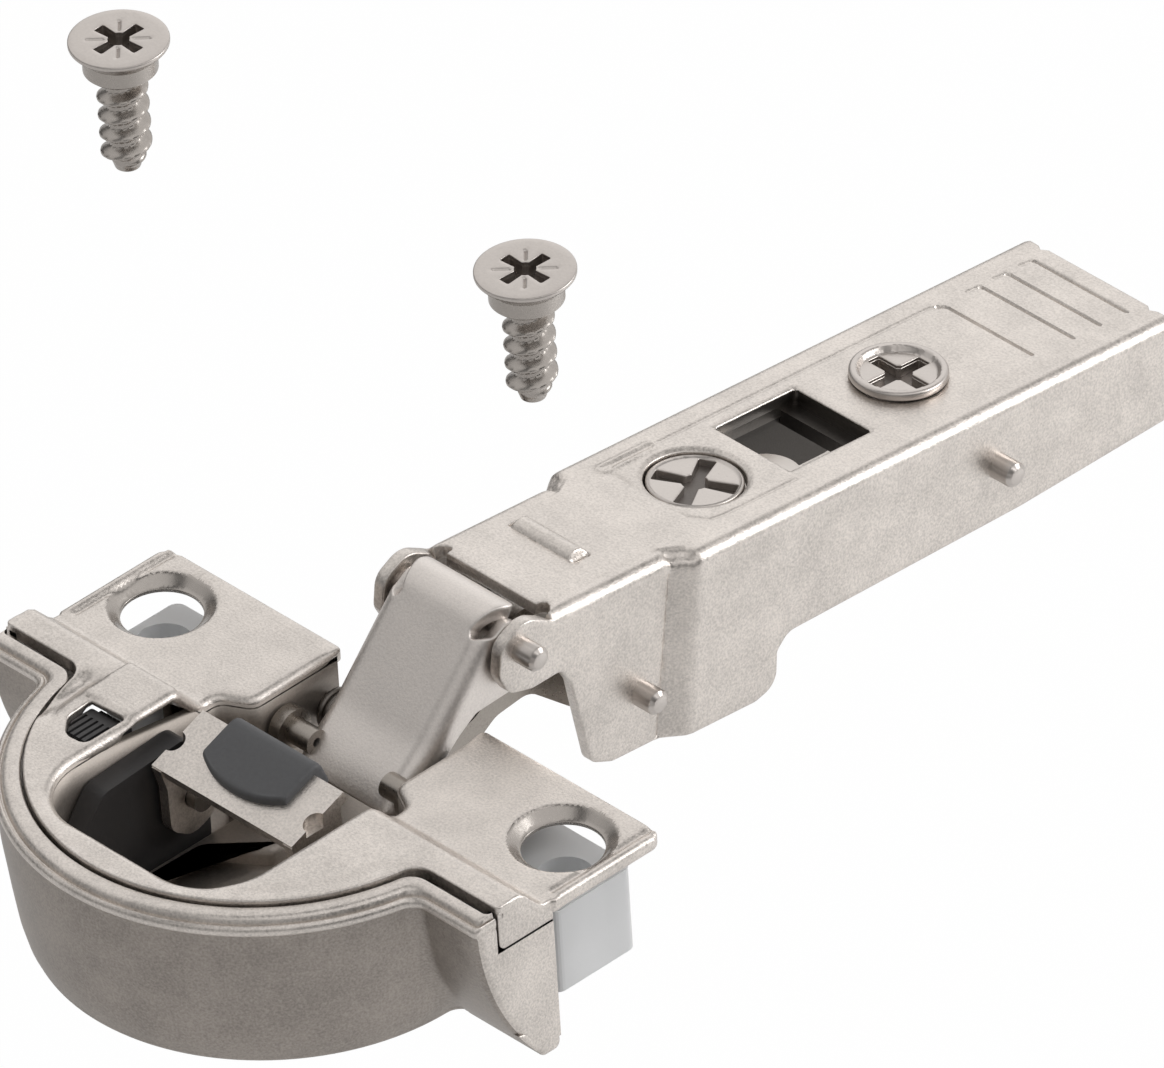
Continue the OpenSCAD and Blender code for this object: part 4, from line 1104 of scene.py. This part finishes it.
def build_pad():
    along = unit(LEVER_REAR - LEVER_FRONT)
    up = np.array([-along[1], along[0]])
    x_half, thick = 4.1, 0.68
    reach = [(0.9, -1.6), (0.9, -0.9), (0.88, -0.1), (0.8, 0.22), (0.62, 0.46), (0.36, 0.6), (0.0, 0.66)]
    back = [(-0.8 - 0.35 * k, thick) for k in range(10)]

    def front(x):
        return -4.15 + 1.25 * (abs(x) / x_half) ** 2.2

    xs = np.concatenate([[-x_half, -x_half + 0.05, -x_half + 0.16, -x_half + 0.32],
                         np.linspace(-x_half + 0.6, x_half - 0.6, 17),
                         [x_half - 0.32, x_half - 0.16, x_half - 0.05, x_half]])
    top, low = [], []
    for x in xs:
        side = x_half - abs(x)
        drop = 0.30 - sqrt(max(0.0, 0.09 - max(0.0, 0.30 - side) ** 2))
        end = front(x)
        line = [(a, b) for a, b in reach] + [(max(a, end + 0.3), b) for a, b in back]
        line += [(end + 0.18, thick - 0.05), (end + 0.06, thick - 0.16), (end, thick - 0.34), (end, 0.02)]
        line = [(a - (drop if i < 4 else 0), b - (drop if i >= 3 and i < len(line) - 1 else 0))
                for i, (a, b) in enumerate(line)]
        top.append([(x, *(LEVER_REAR + along * a + up * b)) for a, b in line])
        under = [(0.02, -1.6), (0.02, -0.9), (0.02, -0.1), (0.02, 0.0)]
        under += [(0.02 + (end - 0.02) * k / (len(line) - 4), 0.005) for k in range(1, len(line) - 3)]
        low.append([(x, *(LEVER_REAR + along * a + up * b)) for a, b in under])
    rows = [t + u[::-1] for t, u in zip(top, low)]
    verts, faces = loft([np.array(r) for r in rows], caps=True)
    piece("lever_pad_soft", verts, faces, GREY, "lever", "lever_pad", "grey_plastic", 50)


# ---- Stage, lamps and camera ----

IMAGE_WIDTH_MM = 79.7
LENS = 900.0
VIEW_RIGHT = Vector((0.693, 0.719, -0.052))
VIEW_BACK = Vector((0.602, -0.537, 0.590))
CENTRE_RIGHT, CENTRE_UP, CENTRE_BACK = 15.11, 12.73, -6.0


def make_camera():
    back = VIEW_BACK.normalized()
    right = (VIEW_RIGHT - back * VIEW_RIGHT.dot(back)).normalized()
    up = back.cross(right)
    target = (right * CENTRE_RIGHT + up * CENTRE_UP + back * CENTRE_BACK) * MM
    data = bpy.data.cameras.new("camera")
    data.lens = LENS
    data.sensor_width = 36.0
    camera = added("camera", data)
    distance = LENS * IMAGE_WIDTH_MM * MM / data.sensor_width
    turn = Matrix((right, up, back)).transposed().to_4x4()
    camera.matrix_world = Matrix.Translation(target + back * distance) @ turn
    data.clip_start, data.clip_end = 0.05, 20
    bpy.context.scene.camera = camera


def make_floor():
    mesh = bpy.data.meshes.new("floor")
    corners = [(-3.0, -3.0), (3.0, -3.0), (3.0, 3.0), (-3.0, 3.0)]
    mesh.from_pydata([(x, y, FLOOR_Z) for x, y in corners], [], [(0, 1, 2, 3)])
    floor = added("floor", mesh)
    mat, graph, inputs, _ = material("pale_floor")
    inputs["Base Color"].default_value = (0.86, 0.86, 0.86, 1)
    inputs["Roughness"].default_value = 0.9
    glow = graph.new("Emission", [("Strength", 1.0)])
    share = graph.maths("MULTIPLY", graph.new("LightPath").outputs["Is Camera Ray"], 0.985)
    shader = graph.nodes["Principled BSDF"]
    graph.blended(share, shader.outputs[0], glow.outputs[0], "Material Output")
    mesh.materials.append(mat)


def lamp(name, direction, distance, size, power, aim=(0, 0.02, 0)):
    data = bpy.data.lights.new(name, "AREA")
    data.shape = "DISK"
    data.size = size
    data.energy = power
    obj = added(name, data)
    obj.location = Vector((0, 0.02, 0)) + Vector(direction).normalized() * distance
    obj.rotation_mode = "QUATERNION"
    obj.rotation_quaternion = (Vector(aim) - obj.location).to_track_quat("-Z", "Y")


def make_light():
    world = bpy.data.worlds.new("world")
    bpy.context.scene.world = world
    graph = Graph(world)
    ground = graph.nodes["Background"]
    ground.inputs["Color"].default_value = (1, 0.985, 0.97, 1)
    way = graph.new("TexCoord").outputs["Generated"]
    strength = graph.ranged(graph.toward(way, (0.0, 0.45, 0.89)), 0.12, 0.88, -0.6, 0.8, True)
    split = graph.new("SeparateXYZ", (), [(0, way)])
    x, z = split.outputs["X"], split.outputs["Z"]

    def ramp(value, low, high, start, stop):
        return graph.ranged(value, start, stop, low, high, True)

    # Dark strips of the room: above, along the left horizon and at the right
    near = graph.maths("ABSOLUTE", graph.maths("ADD", x, 0.08))
    above = graph.maths("MULTIPLY", ramp(near, 0.05, 0.24, 0.9, 0.0), ramp(z, 0.4, 0.75, 0.0, 1.0))
    left = graph.maths("MULTIPLY", ramp(x, -0.9, -0.68, 0.85, 0.0),
                       ramp(graph.maths("ABSOLUTE", z), 0.1, 0.42, 1.0, 0.0))
    right = ramp(graph.toward(way, (0.985, -0.13, 0.10)), 0.84, 0.96, 0.0, 0.85)
    for dark in (above, left, right):
        strength = graph.maths("MULTIPLY", strength, graph.maths("SUBTRACT", 1.0, dark))
    graph.links.new(strength, ground.inputs["Strength"])
    seen = graph.new("Background", [("Strength", 1.0)])
    rays = graph.new("LightPath").outputs["Is Camera Ray"]
    graph.blended(rays, ground.outputs[0], seen.outputs[0], "World Output")
    lamp("top_lamp", (-0.62, 0.72, 0.34), 0.6, 0.4, 0.12)
    lamp("right_lamp", (0.60, 0.54, 0.59), 0.6, 0.12, 0.15)
    lamp("back_lamp", (0.22, 0.26, 0.10), 0.36, 0.2, 0.42, aim=(0.14, 0.17, -0.11))


finish_nodes()
soften_nodes()
build_arm()
build_plate()
build_cup()
build_pad()
build_outer_link()
build_screws()
build_pins()
build_frame_screws()
make_camera()
make_floor()
make_light()
bpy.context.scene.view_settings.view_transform = "Standard"
